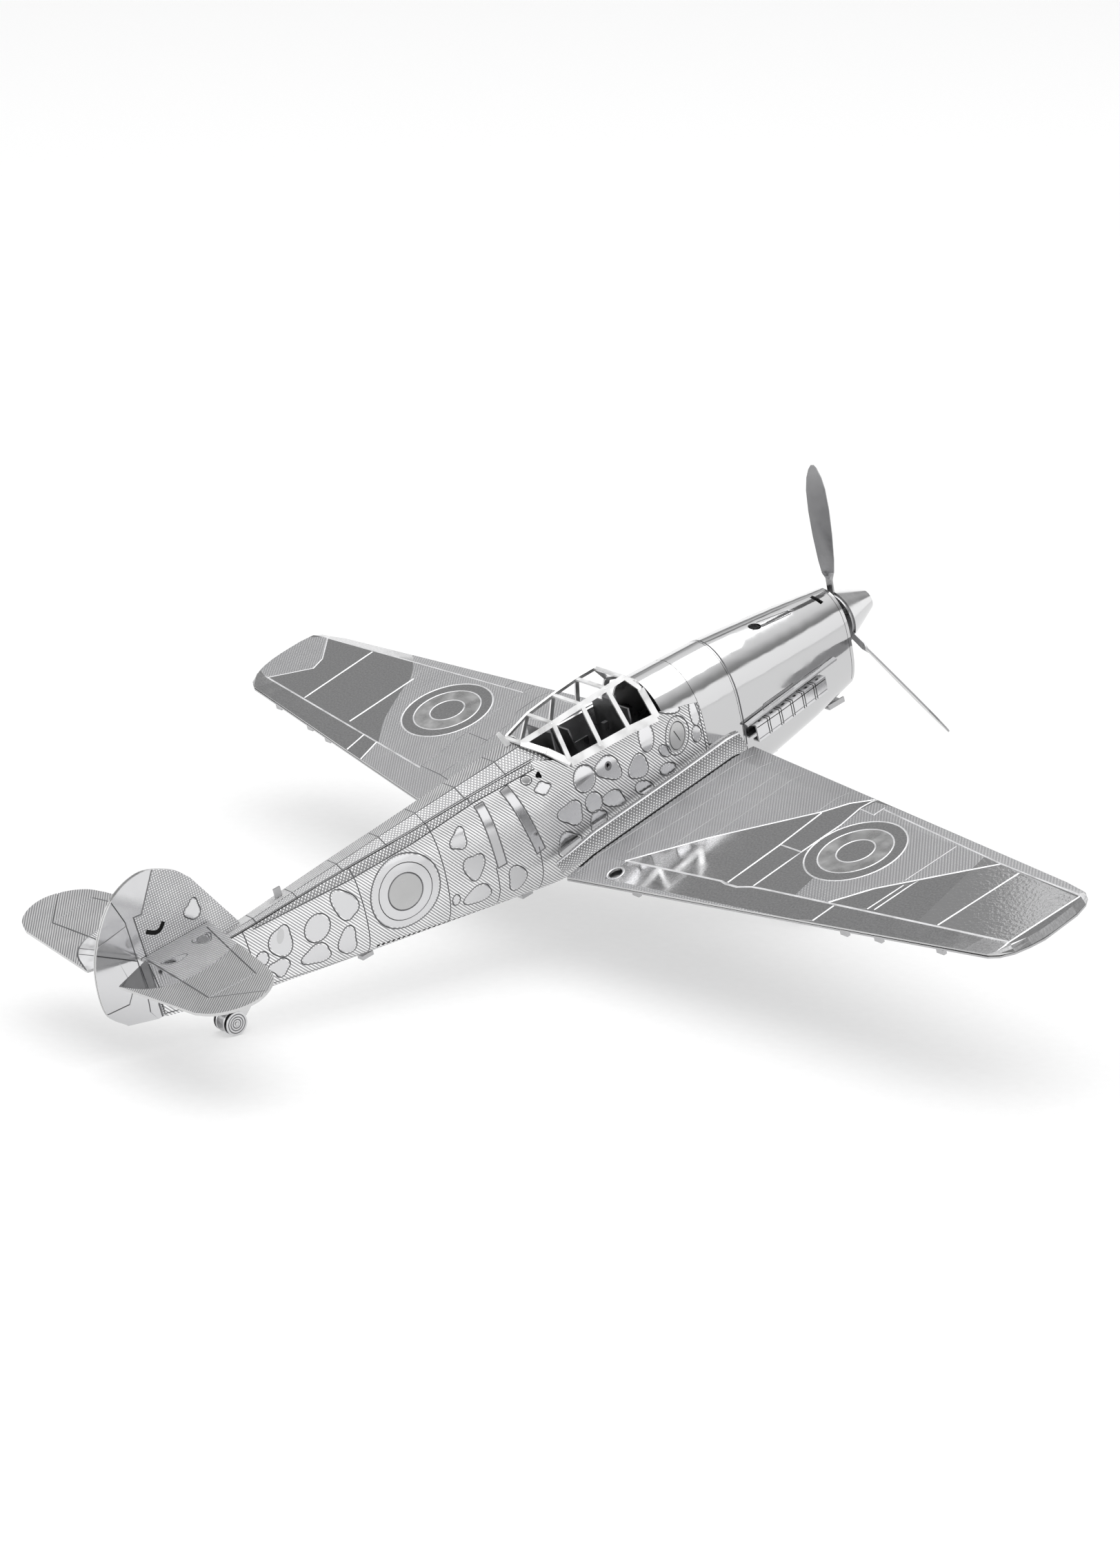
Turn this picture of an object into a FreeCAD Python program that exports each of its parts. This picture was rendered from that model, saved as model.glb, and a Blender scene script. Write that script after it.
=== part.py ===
import FreeCAD, Part
import math
import os

from FreeCAD import Vector

# Display model of a low-wing propeller fighter, folded from thin etched stainless sheet.
# Design axes: x to port, y aft from the propeller plane, z up from the thrust line (mm).
# Row axes: the same, pitched nose-up so that the model stands on its three wheels.

# ---- driving dimensions (mm) ----
SHEET = 0.2                # gauge of every etched sheet
GAP = 0.05                 # room left between neighbouring sheets
STANCE_DEG = 15.955        # nose-up pitch on the wheels
HALF_SPAN = 63.2
TIP_SHOULDER = 61.7        # end of the straight leading and trailing edges
WING_ROOT_X = 6.45
# Rounding of the wing tip: x, chord fraction cut off in front, and behind
TIP_CUTS = [(61.3, 0.0, 0.034), (62.2, 0.05, 0.117), (62.8, 0.125, 0.242), (HALF_SPAN, 0.26, 0.375)]
RUNNING = 0.05             # radial clearance of every spinning fit

PROP_RADIUS = 18.4
PROP_Y = -0.4
PROP_PITCH_DEG = 31.7      # blade chord from the propeller plane
BLADE_COUNT = 3
BLADE_PHASE_DEG = 4.4      # upper blade leans to starboard
# Blade chord along the radius: radius, chord
BLADE_CHORDS = [(1.6, 0.9), (3.0, 0.9), (4.7, 0.95), (5.5, 1.35), (7.0, 1.75), (10.0, 2.15), (13.0, 2.3),
                (15.5, 2.1), (17.0, 1.6), (18.0, 0.9), (PROP_RADIUS, 0.35)]
TWIST_START_R = 4.7        # the root of each blade stays flat as far as this
TWIST_LENGTH = 0.8
HUB_RADIUS = 2.9
HUB_THICK = 0.3
SPINNER_TIP_Y = -5.0
SPINNER_TIP_R = 1.2
SPINNER_BASE_R = 3.1
SHAFT_R = 0.6

MAIN_WHEEL_R = 3.9
MAIN_WHEEL_X = 10.0
MAIN_WHEEL_Y = 16.0
MAIN_WHEEL_W = 1.6
TAIL_WHEEL_R = 1.25
TAIL_WHEEL_W = 1.5
TAIL_WHEEL_YZ = (83.8, -5.5)
AXLE_R = 0.4

# Fuselage stations: y, half width, widest height, top, bottom, top exponent
HULL = [
    (0.35, 2.95, -0.6, 3.85, -7.8, 2.0),
    (6.0, 3.65, -0.5, 4.55, -9.1, 2.0),
    (14.0, 4.3, -0.4, 5.35, -10.5, 2.0),
    (18.2, 4.5, -0.4, 5.7, -10.9, 2.0),
    (28.4, 4.75, -0.4, 5.9, -11.0, 2.0),
    (44.0, 4.7, -0.4, 6.1, -10.2, 2.0),
    (60.0, 3.2, -0.2, 5.0, -7.5, 2.6),
    (80.0, 1.35, 0.2, 3.6, -4.2, 4.0),
    (90.5, 0.55, 0.8, 3.4, -1.9, 4.0),
]
BOTTOM_EXPONENT = 2.6
SEAM_Y = 18.2              # ring seam behind the cowling
SKIN_FRONT_Y = 23.1        # front edge of the textured sides
DECK_END_Y = 27.7
CANOPY_END_Y = 43.8
SPINE_END_Y = 79.3
TAIL_END_Y = 90.5
BELLY_HALF = 0.8           # half width of the belly seam strip

# Upper edge of the fuselage sides, as x on the hull section: y, x
SIDE_TOP = [(SKIN_FRONT_Y, 4.3), (28.4, 3.95), (40.3, 3.85), (CANOPY_END_Y, 2.9), (60.0, 2.2),
            (80.0, 1.1), (TAIL_END_Y, 0.5)]
# Half width of the flat strip along the spine: y, x
STRIP_HALF = [(CANOPY_END_Y, 1.1), (SPINE_END_Y, 0.6)]

# Wing edge lines: x, y, z at the root and the tip
WING_LE = [(6.0, 18.8, -4.96), (TIP_SHOULDER, 25.5, -3.5)]
WING_TE = [(6.0, 45.7, -7.1), (TIP_SHOULDER, 37.5, -4.3)]
ROOT_CHORD = WING_TE[0][1] - WING_LE[0][1]
# Folded wing section: chord fraction, height over the chord
WING_FOLDS = [(0.0, 0.0), (0.11, 0.45), (0.855, 0.42), (1.0, 0.0)]
LOWER_SKIN_DROP = 0.45

TAIL_Z = 5.5               # tailplane at the fin
TAIL_DIHEDRAL_DEG = 2.3
TAIL_HALF_THICK = 0.15

SECTION_POINTS = 15
os.makedirs("parts", exist_ok=True)
PITCH = math.radians(STANCE_DEG)


# ---- helpers ----
def interpolate(table, at):
    """Row of a table at a value of its first column, straight between rows."""
    rows = sorted(table)
    at = min(max(at, rows[0][0]), rows[-1][0])
    for low, high in zip(rows, rows[1:]):
        if at <= high[0]:
            part = (at - low[0]) / (high[0] - low[0])
            return [a + part * (b - a) for a, b in zip(low, high)][1:]
    return list(rows[-1][1:])


def section_height(y, x, upper=True):
    """Height of the hull skin at half-breadth x."""
    width, middle, top, bottom, exponent = interpolate(HULL, y)
    reach = top - middle if upper else bottom - middle
    power = exponent if upper else BOTTOM_EXPONENT
    inside = max(0.0, 1.0 - min(1.0, abs(x) / width) ** power)
    return middle + reach * inside ** (1.0 / power)


def angle_at(y, x, upper):
    """Section angle whose half-breadth is x."""
    width, _, _, _, exponent = interpolate(HULL, y)
    power = exponent if upper else BOTTOM_EXPONENT
    return math.asin(min(1.0, (x / width)) ** (power / 2.0))


def arc_points(y, start, end, upper, count):
    """Skin points between two half-breadths of one quarter."""
    width, middle, top, bottom, exponent = interpolate(HULL, y)
    reach = top - middle if upper else bottom - middle
    power = 2.0 / (exponent if upper else BOTTOM_EXPONENT)
    first = angle_at(y, start, upper)
    last = angle_at(y, end, upper)
    points = []
    for i in range(count):
        angle = first + (last - first) * i / (count - 1)
        points.append((width * math.sin(angle) ** power,
                       middle + reach * max(0.0, math.cos(angle)) ** power))
    return points


def inset(points, distance):
    """Polyline moved to its right-hand side by a distance."""
    moved = []
    for i, (x, z) in enumerate(points):
        before = points[max(0, i - 1)]
        after = points[min(len(points) - 1, i + 1)]
        dx = after[0] - before[0]
        dz = after[1] - before[1]
        length = math.hypot(dx, dz)
        moved.append((x + dz / length * distance, z - dx / length * distance))
    return moved


def sheet_wire(y, points, thickness=SHEET):
    """Closed outline of a bent sheet in the plane y: skin line, edge, inner line, edge."""
    outer = [Vector(x, y, z) for x, z in points]
    inner = [Vector(x, y, z) for x, z in inset(points, thickness)]
    skin = Part.BSplineCurve()
    skin.interpolate(outer)
    lining = Part.BSplineCurve()
    lining.interpolate(inner[::-1])
    edges = [skin.toShape(), Part.makeLine(outer[-1], inner[-1]), lining.toShape(),
             Part.makeLine(inner[0], outer[0])]
    return Part.Wire(edges)


def polygon(points):
    return Part.makePolygon(points + [points[0]])


def loft(wires):
    return Part.makeLoft(wires, True, True)


def plate(points, move):
    """Flat plate: a closed outline of vectors pushed by a vector."""
    return Part.Face(polygon(points)).extrude(move)


def block(x, y, z):
    """Box between low and high values of each axis."""
    return Part.makeBox(x[1] - x[0], y[1] - y[0], z[1] - z[0], Vector(x[0], y[0], z[0]))


def rod(start, direction, length, radius):
    return Part.makeCylinder(radius, length, Vector(*start), Vector(*direction))


def bar(start, end, width, facing, thickness=SHEET):
    """Flat bar from point to point, its broad face turned to a direction."""
    a = Vector(*start)
    b = Vector(*end)
    along = (b - a).normalize()
    across = along.cross(Vector(*facing)).normalize()
    normal = across.cross(along).normalize()
    corners = [a + across * (width / 2), b + across * (width / 2), b - across * (width / 2),
               a - across * (width / 2)]
    return plate([c - normal * (thickness / 2) for c in corners], normal * thickness)


def fused(shapes):
    """One solid from overlapping ones."""
    result = shapes[0].multiFuse(shapes[1:]).removeSplitter()
    return result.Solids[0] if len(result.Solids) == 1 else result


def mirrored(shape):
    """The other side of the aeroplane."""
    return shape.mirror(Vector(0, 0, 0), Vector(1, 0, 0))


# ---- fuselage ----
def closed_hull(y, seam_half):
    """Port and starboard skin points from the belly seam over the top."""
    width = interpolate(HULL, y)[0]
    upper = arc_points(y, 0.0, width, True, SECTION_POINTS)
    lower = arc_points(y, seam_half, width, False, SECTION_POINTS)
    port = lower[:-1] + upper[::-1]
    return [(-x, z) for x, z in port] + [(x, z) for x, z in port[::-1][1:]]


def hull_shell(stations):
    """Sheet wrapped round the nose, its seam along the belly."""
    return loft([sheet_wire(y, closed_hull(y, 0.3)) for y in stations])


def engine_cowling():
    shell = hull_shell([row[0] for row in HULL[:4]])
    for side in (-1, 1):
        hole = rod((side * 1.45, 11.6, 3.5), (0, 0, 1), 3.0, 0.55)
        slot = bar((side * 0.6, 2.75, 4.0), (side * 1.8, 2.3, 4.0), 0.3, (0, 0, 1), 2.4)
        shell = shell.cut(hole).cut(slot)
    return shell


def cowl_deck():
    """Roof sheet between the seam shell and the windshield."""
    wires = []
    for y, edge in ((SKIN_FRONT_Y + GAP, 4.3), (DECK_END_Y, 4.05)):
        port = arc_points(y, 0.0, edge, True, SECTION_POINTS)
        wires.append(sheet_wire(y, [(-x, z) for x, z in port[::-1]] + port[1:]))
    return loft(wires)


def fuselage_side():
    """Port side sheet from the sill or spine facet down to the belly strip."""
    wires = []
    for y in (SKIN_FRONT_Y + GAP, 28.4, 40.3, CANOPY_END_Y, 60.0, 80.0, TAIL_END_Y):
        top_x = interpolate(SIDE_TOP, y)[0]
        width = interpolate(HULL, y)[0]
        seam = min(BELLY_HALF + GAP, width * 0.8)
        points = arc_points(y, top_x, width, True, 8)
        points += arc_points(y, width, seam, False, 12)[1:]
        wires.append(sheet_wire(y, points))
    return loft(wires)


def spine_panel():
    """Folded cap: a flat strip with a sloping facet on each side."""
    wires = []
    for y in (CANOPY_END_Y, 60.0, SPINE_END_Y):
        strip = interpolate(STRIP_HALF, y)[0]
        low_x = interpolate(SIDE_TOP, y)[0] - GAP
        top = interpolate(HULL, y)[2]
        low_z = section_height(y, low_x)
        outer = [(-low_x, low_z), (-strip, top), (strip, top), (low_x, low_z)]
        slope = math.hypot(low_x - strip, top - low_z)
        step_x = SHEET * (top - low_z) / slope
        step_z = SHEET * (low_x - strip) / slope
        bend = SHEET * math.tan(math.atan2(top - low_z, low_x - strip) / 2)
        inner = [(low_x - step_x, low_z - step_z), (strip - bend, top - SHEET),
                 (bend - strip, top - SHEET), (step_x - low_x, low_z - step_z)]
        wires.append(polygon([Vector(x, y, z) for x, z in outer + inner]))
    return loft(wires)


def belly_strip():
    """Narrow strip that closes the seam under the fuselage."""
    wires = []
    for y in (SKIN_FRONT_Y + GAP, 44.0, 60.0, 80.0, 88.0):
        half = min(BELLY_HALF, interpolate(HULL, y)[0] * 0.6) - GAP
        low = section_height(y, half, False) - 0.02
        wires.append(polygon([Vector(-half, y, low), Vector(half, y, low), Vector(half, y, low + SHEET),
                              Vector(-half, y, low + SHEET)]))
    return loft(wires)


def bulkhead(y, upper_limit=None, hole=None):
    """Flat former inside the hull, with an optional level top and shaft hole."""
    outline = closed_hull(y, 0.0)
    inside = inset(outline, SHEET + GAP + 0.02)
    face = Part.Face(polygon([Vector(x, y, z) for x, z in inside[1:-1]]))
    shape = face.extrude(Vector(0, SHEET, 0))
    if upper_limit is not None:
        shape = shape.common(block((-9, 9), (y - 1, y + 1), (-12, upper_limit)))
    if hole is not None:
        shape = shape.cut(rod((0, y - 1, 0), (0, 1, 0), 2, hole))
    return shape


# ---- cockpit ----
CANOPY_RAIL = [(43.7, 1.3, 6.3), (39.9, 2.15, 6.95), (36.1, 2.35, 7.35), (32.7, 2.45, 7.62),
               (30.2, 2.36, 7.72)]
CANOPY_SILL = [(40.3, 4.16, 3.1), (36.2, 4.22, 3.05), (32.3, 4.25, 3.0), (28.7, 4.38, 2.78)]
CANOPY_HIP = (42.1, 3.05, 5.0)
WINDSHIELD_KNEE = (28.75, 2.75, 5.75)
WINDSHIELD_FOOT = (28.05, 1.2, 6.05)
RAIL_WIDTH = 0.6
POST_WIDTH = 0.5


def canopy_frame():
    """Open lattice folded from one sheet: rails, posts, cross bars, sills."""
    bars = []
    for side in (-1, 1):
        outward = (side, 0, 0.55)
        rail = [(side * x, y, z) for y, x, z in CANOPY_RAIL]
        sill = [(side * x, y, z) for y, x, z in CANOPY_SILL]
        knee = (side * WINDSHIELD_KNEE[1], WINDSHIELD_KNEE[0], WINDSHIELD_KNEE[2])
        foot = (side * WINDSHIELD_FOOT[1], WINDSHIELD_FOOT[0], WINDSHIELD_FOOT[2])
        for a, b in zip(rail, rail[1:]):
            bars.append(bar(a, b, RAIL_WIDTH, outward))
        for a, b in zip(sill, sill[1:]):
            bars.append(bar(a, b, 0.9, outward))
        for a, b in zip(rail[1:4], sill[0:3]):
            bars.append(bar(a, b, POST_WIDTH, outward))
        hip = (side * CANOPY_HIP[1], CANOPY_HIP[0], CANOPY_HIP[2])
        bars.append(bar(rail[0], hip, 0.7, (side, 0, 1)))
        bars.append(bar(hip, sill[0], 0.8, (side, 0, 0.9)))
        bars.append(bar(rail[4], knee, POST_WIDTH, outward))
        bars.append(bar(knee, sill[3], 0.8, outward))
        bars.append(bar(knee, foot, POST_WIDTH, (0, -1, 0.6)))
        bars.append(bar((side * 0.8, rail[4][1], rail[4][2]), foot, POST_WIDTH, (0, -1, 0.8)))
    for y, x, z in CANOPY_RAIL:
        bars.append(bar((-x - 0.1, y, z), (x + 0.1, y, z), POST_WIDTH, (0, 0, 1)))
    foot_y, foot_x, foot_z = WINDSHIELD_FOOT
    bars.append(bar((-foot_x, foot_y, foot_z), (foot_x, foot_y, foot_z), POST_WIDTH, (0, -1, 0.8)))
    return fused(bars)


def cockpit_floor():
    return block((-3.6, 3.6), (28.6, 41.4), (-1.2, -1.2 + SHEET))


def seat():
    """Folded bucket: base, raked back and two side cheeks."""
    base = block((-1.7, 1.7), (33.4, 37.0), (0.0, SHEET))
    front = block((-1.7, 1.7), (33.4, 33.4 + SHEET), (-1.0 + GAP, SHEET))
    back = bar((0, 36.9, 0.05), (0, 38.0, 5.2), 3.4, (0, -1, 0))
    cheeks = [block((x, x + SHEET), (33.6, 37.0), (0.0, 1.6)) for x in (-1.7, 1.7 - SHEET)]
    return fused([base, front, back] + cheeks)


def instrument_panel():
    panel = block((-3.0, 3.0), (30.9, 30.9 + SHEET), (-1.0 + GAP, 4.6))
    sight = block((-0.6, 0.6), (30.5, 31.4), (4.5, 5.3))
    return fused([panel, sight])


def control_stick():
    column = block((-0.25, 0.25), (32.1, 32.3), (-1.0 + GAP, 2.3))
    grip = block((-0.25, 0.25), (31.9, 32.5), (2.1, 2.9))
    return fused([column, grip])


def headrest_frame():
    """Armour plate behind the seat, held between the sills."""
    plate_face = block((-2.0, 2.0), (40.2, 40.2 + SHEET), (-1.0 + GAP, 6.0))
    rest = block((-0.8, 0.8), (39.5, 40.3), (4.4, 5.6))
    return fused([plate_face, rest])


# ---- wings ----
def wing_point(x, chord, lift):
    low = interpolate(WING_LE, x)
    high = interpolate(WING_TE, x)
    y = low[0] + chord * (high[0] - low[0])
    z = low[1] + chord * (high[1] - low[1]) + lift
    return Vector(x, y, z)


def fold_height(chord):
    return interpolate(WING_FOLDS, chord)[0]


def wing_skin(top, bottom):
    """Port skin between two height functions of the chord fraction."""
    wires = []
    for x, front, rear in [(WING_ROOT_X, 0.0, 0.0), (60.2, 0.0, 0.0)] + TIP_CUTS:
        chords = [front + (1.0 - front - rear) * fold[0] for fold in WING_FOLDS]
        over = [wing_point(x, c, top(c)) for c in chords]
        under = [wing_point(x, c, bottom(c)) for c in chords[::-1]]
        wires.append(polygon(over + under))
    return loft(wires)


def wing_upper():
    return wing_skin(fold_height, lambda c: fold_height(c) - SHEET)


def wing_lower():
    return wing_skin(lambda c: SHEET - LOWER_SKIN_DROP, lambda c: -LOWER_SKIN_DROP)


def wing_spar():
    """Upright strip between the two skins at 40 percent of the chord."""
    low = SHEET - LOWER_SKIN_DROP + GAP
    high = fold_height(0.4) - SHEET - GAP
    wires = []
    for x in (WING_ROOT_X + 0.5, HALF_SPAN - 4.0):
        corner = wing_point(x, 0.4, low)
        rise = Vector(0, 0, high - low)
        run = Vector(0, SHEET, 0)
        wires.append(polygon([corner, corner + run, corner + run + rise, corner + rise]))
    return loft(wires)


# Fillet stations: y, share of the full flare
FILLET = [(19.0, 0.25), (22.0, 1.0), (40.0, 1.0), (45.4, 0.5)]
FILLET_RISE = 1.5


def wing_fillet():
    """Flared strip from the fuselage side out to the wing root."""
    wires = []
    for y, flare in FILLET:
        root = wing_point(WING_LE[0][0], (y - WING_LE[0][1]) / ROOT_CHORD, 0.0)
        skin_x = interpolate(HULL, y)[0] + SHEET + GAP
        inner_x = skin_x - 0.15
        outer_x = skin_x + (WING_ROOT_X - 0.12 - skin_x) * flare
        high = root.z + FILLET_RISE * flare + 0.35
        low = root.z + 0.1
        wires.append(polygon([Vector(inner_x, y, high), Vector(outer_x, y, low),
                              Vector(outer_x - 0.1, y, low - SHEET), Vector(inner_x, y, high - SHEET - 0.1)]))
    return loft(wires)


def radiator():
    """Open duct folded under the wing: floor and two sides."""
    x_in, x_out, y_front, y_rear, depth = 12.0, 19.5, 31.5, 38.5, 1.5
    under = -LOWER_SKIN_DROP - GAP
    roof = [wing_point(x, 0.5, under).z for x in (x_in, x_out)]
    top = min(roof) - 0.75
    floor = block((x_in, x_out), (y_front, y_rear), (top - depth, top - depth + SHEET))
    sides = [block((x, x + SHEET), (y_front, y_rear), (top - depth, top)) for x in (x_in, x_out - SHEET)]
    matrix = block((x_in + 0.1, x_out - 0.1), (34.6, 34.6 + SHEET), (top - depth + 0.1, top))
    return fused([floor, matrix] + sides)


# ---- nose details ----
def channel_wire(y, x_in, x_out, high, low):
    """Section of a folded channel, open towards the fuselage."""
    points = [(x_in, high), (x_out, high), (x_out, low), (x_in, low), (x_in, low + SHEET),
              (x_out - SHEET, low + SHEET), (x_out - SHEET, high - SHEET), (x_in, high - SHEET)]
    return polygon([Vector(x, y, z) for x, z in points])


EXHAUST = [(6.2, -3.05, -4.85), (17.2, -3.55, -5.5)]   # y, top, bottom
SHELF = [(3.6, -2.2), (14.0, -2.75), (18.0, -3.15)]    # y, height
BOX_DEPTH = 0.95
SHELF_DEPTH = 0.5


def outside(y):
    """Half-breadth just clear of the widest part of the hull."""
    return interpolate(HULL, y)[0] + GAP


def exhaust_row():
    """Port exhaust box: a channel closed at the front and open at the rear."""
    wires = []
    for y, high, low in EXHAUST:
        wires.append(channel_wire(y, outside(y), outside(y) + BOX_DEPTH, high, low))
    y, high, low = EXHAUST[0]
    cap = block((outside(y), outside(y) + BOX_DEPTH), (y, y + SHEET), (low, high))
    return fused([loft(wires), cap.cut(block((0, outside(y + SHEET)), (y, y + 1), (low, high)))])


def exhaust_shelf():
    """Flange that stands out of the cowling above the exhausts."""
    wires = []
    for y, height in SHELF:
        root = outside(y)
        lip = root + SHELF_DEPTH
        wires.append(polygon([Vector(root, y, height), Vector(lip, y, height - 0.1),
                              Vector(lip, y, height - 0.1 - SHEET), Vector(root, y, height - SHEET)]))
    return loft(wires)


def oil_cooler():
    """Scoop under the chin: floor and two sides, open front and rear."""
    low, high, half, front, rear = -9.35, -8.75, 0.9, 1.3, 3.6
    floor = block((-half, half), (front, rear), (low, low + SHEET))
    sides = [block((x, x + SHEET), (front, rear), (low, high)) for x in (-half, half - SHEET)]
    grille = block((-half, half), (2.4, 2.4 + SHEET), (low, high))
    return fused([floor, grille] + sides)


def supercharger_intake():
    """Round scoop on the port side of the cowling."""
    start = (5.35, 10.2, 1.4)
    tube = rod(start, (0, 1, 0), 3.4, 0.9).cut(rod(start, (0, 1, 0), 3.0, 0.7))
    foot = block((4.32, 4.7), (11.4, 13.2), (1.0, 1.8))
    return fused([tube, foot.cut(rod(start, (0, 1, 0), 3.0, 0.7))])


# ---- tail ----
def tailplane():
    """Port tailplane with a rounded tip and a cut-out beside the rudder."""
    low = TAIL_Z - TAIL_HALF_THICK
    corner = [Vector(*p, low) for p in ((0.3, 83.1), (14.2, 85.8), (19.0, 90.2), (15.1, 94.85),
                                        (2.9, 95.6), (0.95, 91.2), (0.3, 91.2))]
    front = Part.makeLine(corner[0], corner[1])
    tip = Part.Arc(corner[1], Vector(17.7, 87.4, low), corner[2]).toShape()
    aft = Part.Arc(corner[2], Vector(17.9, 93.1, low), corner[3]).toShape()
    rest = [Part.makeLine(a, b) for a, b in zip(corner[3:], corner[4:] + [corner[0]])]
    face = Part.Face(Part.Wire([front, tip, aft] + rest))
    panel = face.extrude(Vector(0, 0, 2 * TAIL_HALF_THICK))
    panel.rotate(Vector(0, 0, TAIL_Z), Vector(0, 1, 0), -TAIL_DIHEDRAL_DEG)
    return panel


FIN_EDGE = [(79.9, 3.9), (83.7, 10.9)]
FIN_TOP = [(83.7, 10.9), (85.4, 12.6), (88.6, 13.9), (92.0, 13.0), (94.6, 10.2), (96.2, 6.6),
           (96.4, 2.2), (94.6, -0.1)]
FIN_FOOT = [(94.6, -0.1), (91.3, -1.1), (88.6, -1.2), (80.9, -1.0), (79.9, 3.9)]


def fin_rudder():
    """Port skin of the fin and rudder."""
    def at(point):
        return Vector(0.03, point[0], point[1])
    crown = Part.BSplineCurve()
    crown.interpolate([at(p) for p in FIN_TOP])
    edges = [Part.makeLine(at(FIN_EDGE[0]), at(FIN_EDGE[1])), crown.toShape()]
    edges += [Part.makeLine(at(a), at(b)) for a, b in zip(FIN_FOOT, FIN_FOOT[1:])]
    return Part.Face(Part.Wire(edges)).extrude(Vector(SHEET, 0, 0))


def antenna_mast():
    """Raked tab that stands behind the canopy."""
    foot = [Vector(-0.1, y, z) for y, z in ((44.1, 6.15), (44.8, 6.1), (45.5, 7.9), (45.1, 8.0))]
    return plate(foot, Vector(SHEET, 0, 0))


# ---- landing gear ----
def wheel_height():
    """Height of the main wheel centres that puts all three wheels on one level."""
    def level(y, z, radius):
        return z * math.cos(PITCH) - y * math.sin(PITCH) - radius
    ground = level(*TAIL_WHEEL_YZ, TAIL_WHEEL_R)
    return (ground + MAIN_WHEEL_R + MAIN_WHEEL_Y * math.sin(PITCH)) / math.cos(PITCH)


WHEEL_Z = wheel_height()
LEG_TOP = (7.6, 20.0, -5.75)


def gear_leg():
    """Folded strut from the wing down to the axle, with its axle eye."""
    inner_x = MAIN_WHEEL_X - MAIN_WHEEL_W / 2 - 0.3
    eye_x = inner_x - 0.5
    top = Vector(*LEG_TOP)
    foot = Vector(eye_x + 0.25, MAIN_WHEEL_Y, WHEEL_Z)
    strut = bar(top, foot, 0.9, (1, 0, 0.2), 0.5)
    eye = rod((eye_x, MAIN_WHEEL_Y, WHEEL_Z), (1, 0, 0), 0.5, 0.95)
    hole = rod((eye_x - 1, MAIN_WHEEL_Y, WHEEL_Z), (1, 0, 0), 3, AXLE_R)
    return fused([strut, eye]).cut(hole)


def gear_door():
    """Flat cover on the outer side of the strut."""
    outline = [(18.6, -6.6), (21.2, -6.6), (19.0, -16.2), (16.8, -16.2)]
    low = plate([Vector(8.75, y, z) for y, z in outline], Vector(SHEET, 0, 0))
    hinge = block((8.2, 8.8), (18.9, 19.1), (-9.2, -8.6))
    return fused([low, hinge])


def main_wheel():
    """Tyre with a turned-in hub, bored for its axle."""
    inner_x = MAIN_WHEEL_X - MAIN_WHEEL_W / 2
    centre = (inner_x, MAIN_WHEEL_Y, WHEEL_Z)
    tyre = rod(centre, (1, 0, 0), MAIN_WHEEL_W, MAIN_WHEEL_R)
    rims = [edge for edge in tyre.Edges if isinstance(edge.Curve, Part.Circle)]
    tyre = tyre.makeFillet(0.5, rims)
    recess = rod((MAIN_WHEEL_X + MAIN_WHEEL_W / 2 - 0.3, MAIN_WHEEL_Y, WHEEL_Z), (1, 0, 0), 1, 2.1)
    bore = rod((inner_x - 1, MAIN_WHEEL_Y, WHEEL_Z), (1, 0, 0), 5, AXLE_R + RUNNING)
    return tyre.cut(recess).cut(bore)


def wheel_axle():
    """Pin through the leg eye and the wheel, with a head outside the wheel."""
    start = MAIN_WHEEL_X - MAIN_WHEEL_W / 2 - 0.9
    hub_face = MAIN_WHEEL_X + MAIN_WHEEL_W / 2 - 0.3
    pin = rod((start, MAIN_WHEEL_Y, WHEEL_Z), (1, 0, 0), hub_face + 0.1 - start, AXLE_R)
    head = rod((hub_face + 0.08, MAIN_WHEEL_Y, WHEEL_Z), (1, 0, 0), 0.2, 0.8)
    return fused([pin, head])


def tail_wheel():
    y, z = TAIL_WHEEL_YZ
    start = (-TAIL_WHEEL_W / 2, y, z)
    wheel = rod(start, (1, 0, 0), TAIL_WHEEL_W, TAIL_WHEEL_R)
    groove = rod((-TAIL_WHEEL_W / 2 + SHEET, y, z), (1, 0, 0), TAIL_WHEEL_W - 2 * SHEET, 2.0)
    groove = groove.cut(rod((-2, y, z), (1, 0, 0), 4, 0.75))
    bore = rod((-2, y, z), (1, 0, 0), 4, AXLE_R / 2 + RUNNING)
    return wheel.cut(groove).cut(bore)


def tail_fork():
    """Two cheek plates and a bridge that carry the tail wheel inside the discs' rims."""
    y, z = TAIL_WHEEL_YZ
    cheeks = []
    for side in (-1, 1):
        inner = side * (TAIL_WHEEL_W / 2 + 0.1)
        outer = inner + side * SHEET
        outline = [(y - 0.3, z - 0.5), (y + 0.5, z - 0.2), (82.9, -3.75), (81.0, -4.15)]
        cheek = plate([Vector(min(inner, outer), a, b) for a, b in outline], Vector(SHEET, 0, 0))
        cheeks.append(cheek.cut(rod((-2, y, z), (1, 0, 0), 4, AXLE_R / 2)))
    bridge = block((-TAIL_WHEEL_W / 2 - 0.2, TAIL_WHEEL_W / 2 + 0.2), (81.5, 82.6), (-4.15, -3.95))
    return fused(cheeks + [bridge])


def tail_axle():
    y, z = TAIL_WHEEL_YZ
    reach = TAIL_WHEEL_W / 2 + 0.45
    return rod((-reach, y, z), (1, 0, 0), 2 * reach, AXLE_R / 2)


# ---- propeller ----
def blade_section(radius):
    """Rectangle across an upright blade at one radius."""
    turn = math.radians(PROP_PITCH_DEG) * min(1.0, max(0.0, (radius - TWIST_START_R) / TWIST_LENGTH))
    along = Vector(math.cos(turn), math.sin(turn), 0) * (interpolate(BLADE_CHORDS, radius)[0] / 2)
    normal = Vector(-math.sin(turn), math.cos(turn), 0) * (SHEET / 2)
    centre = Vector(0, PROP_Y, radius)
    return polygon([centre - along - normal, centre + along - normal, centre + along + normal,
                    centre - along + normal])


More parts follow.
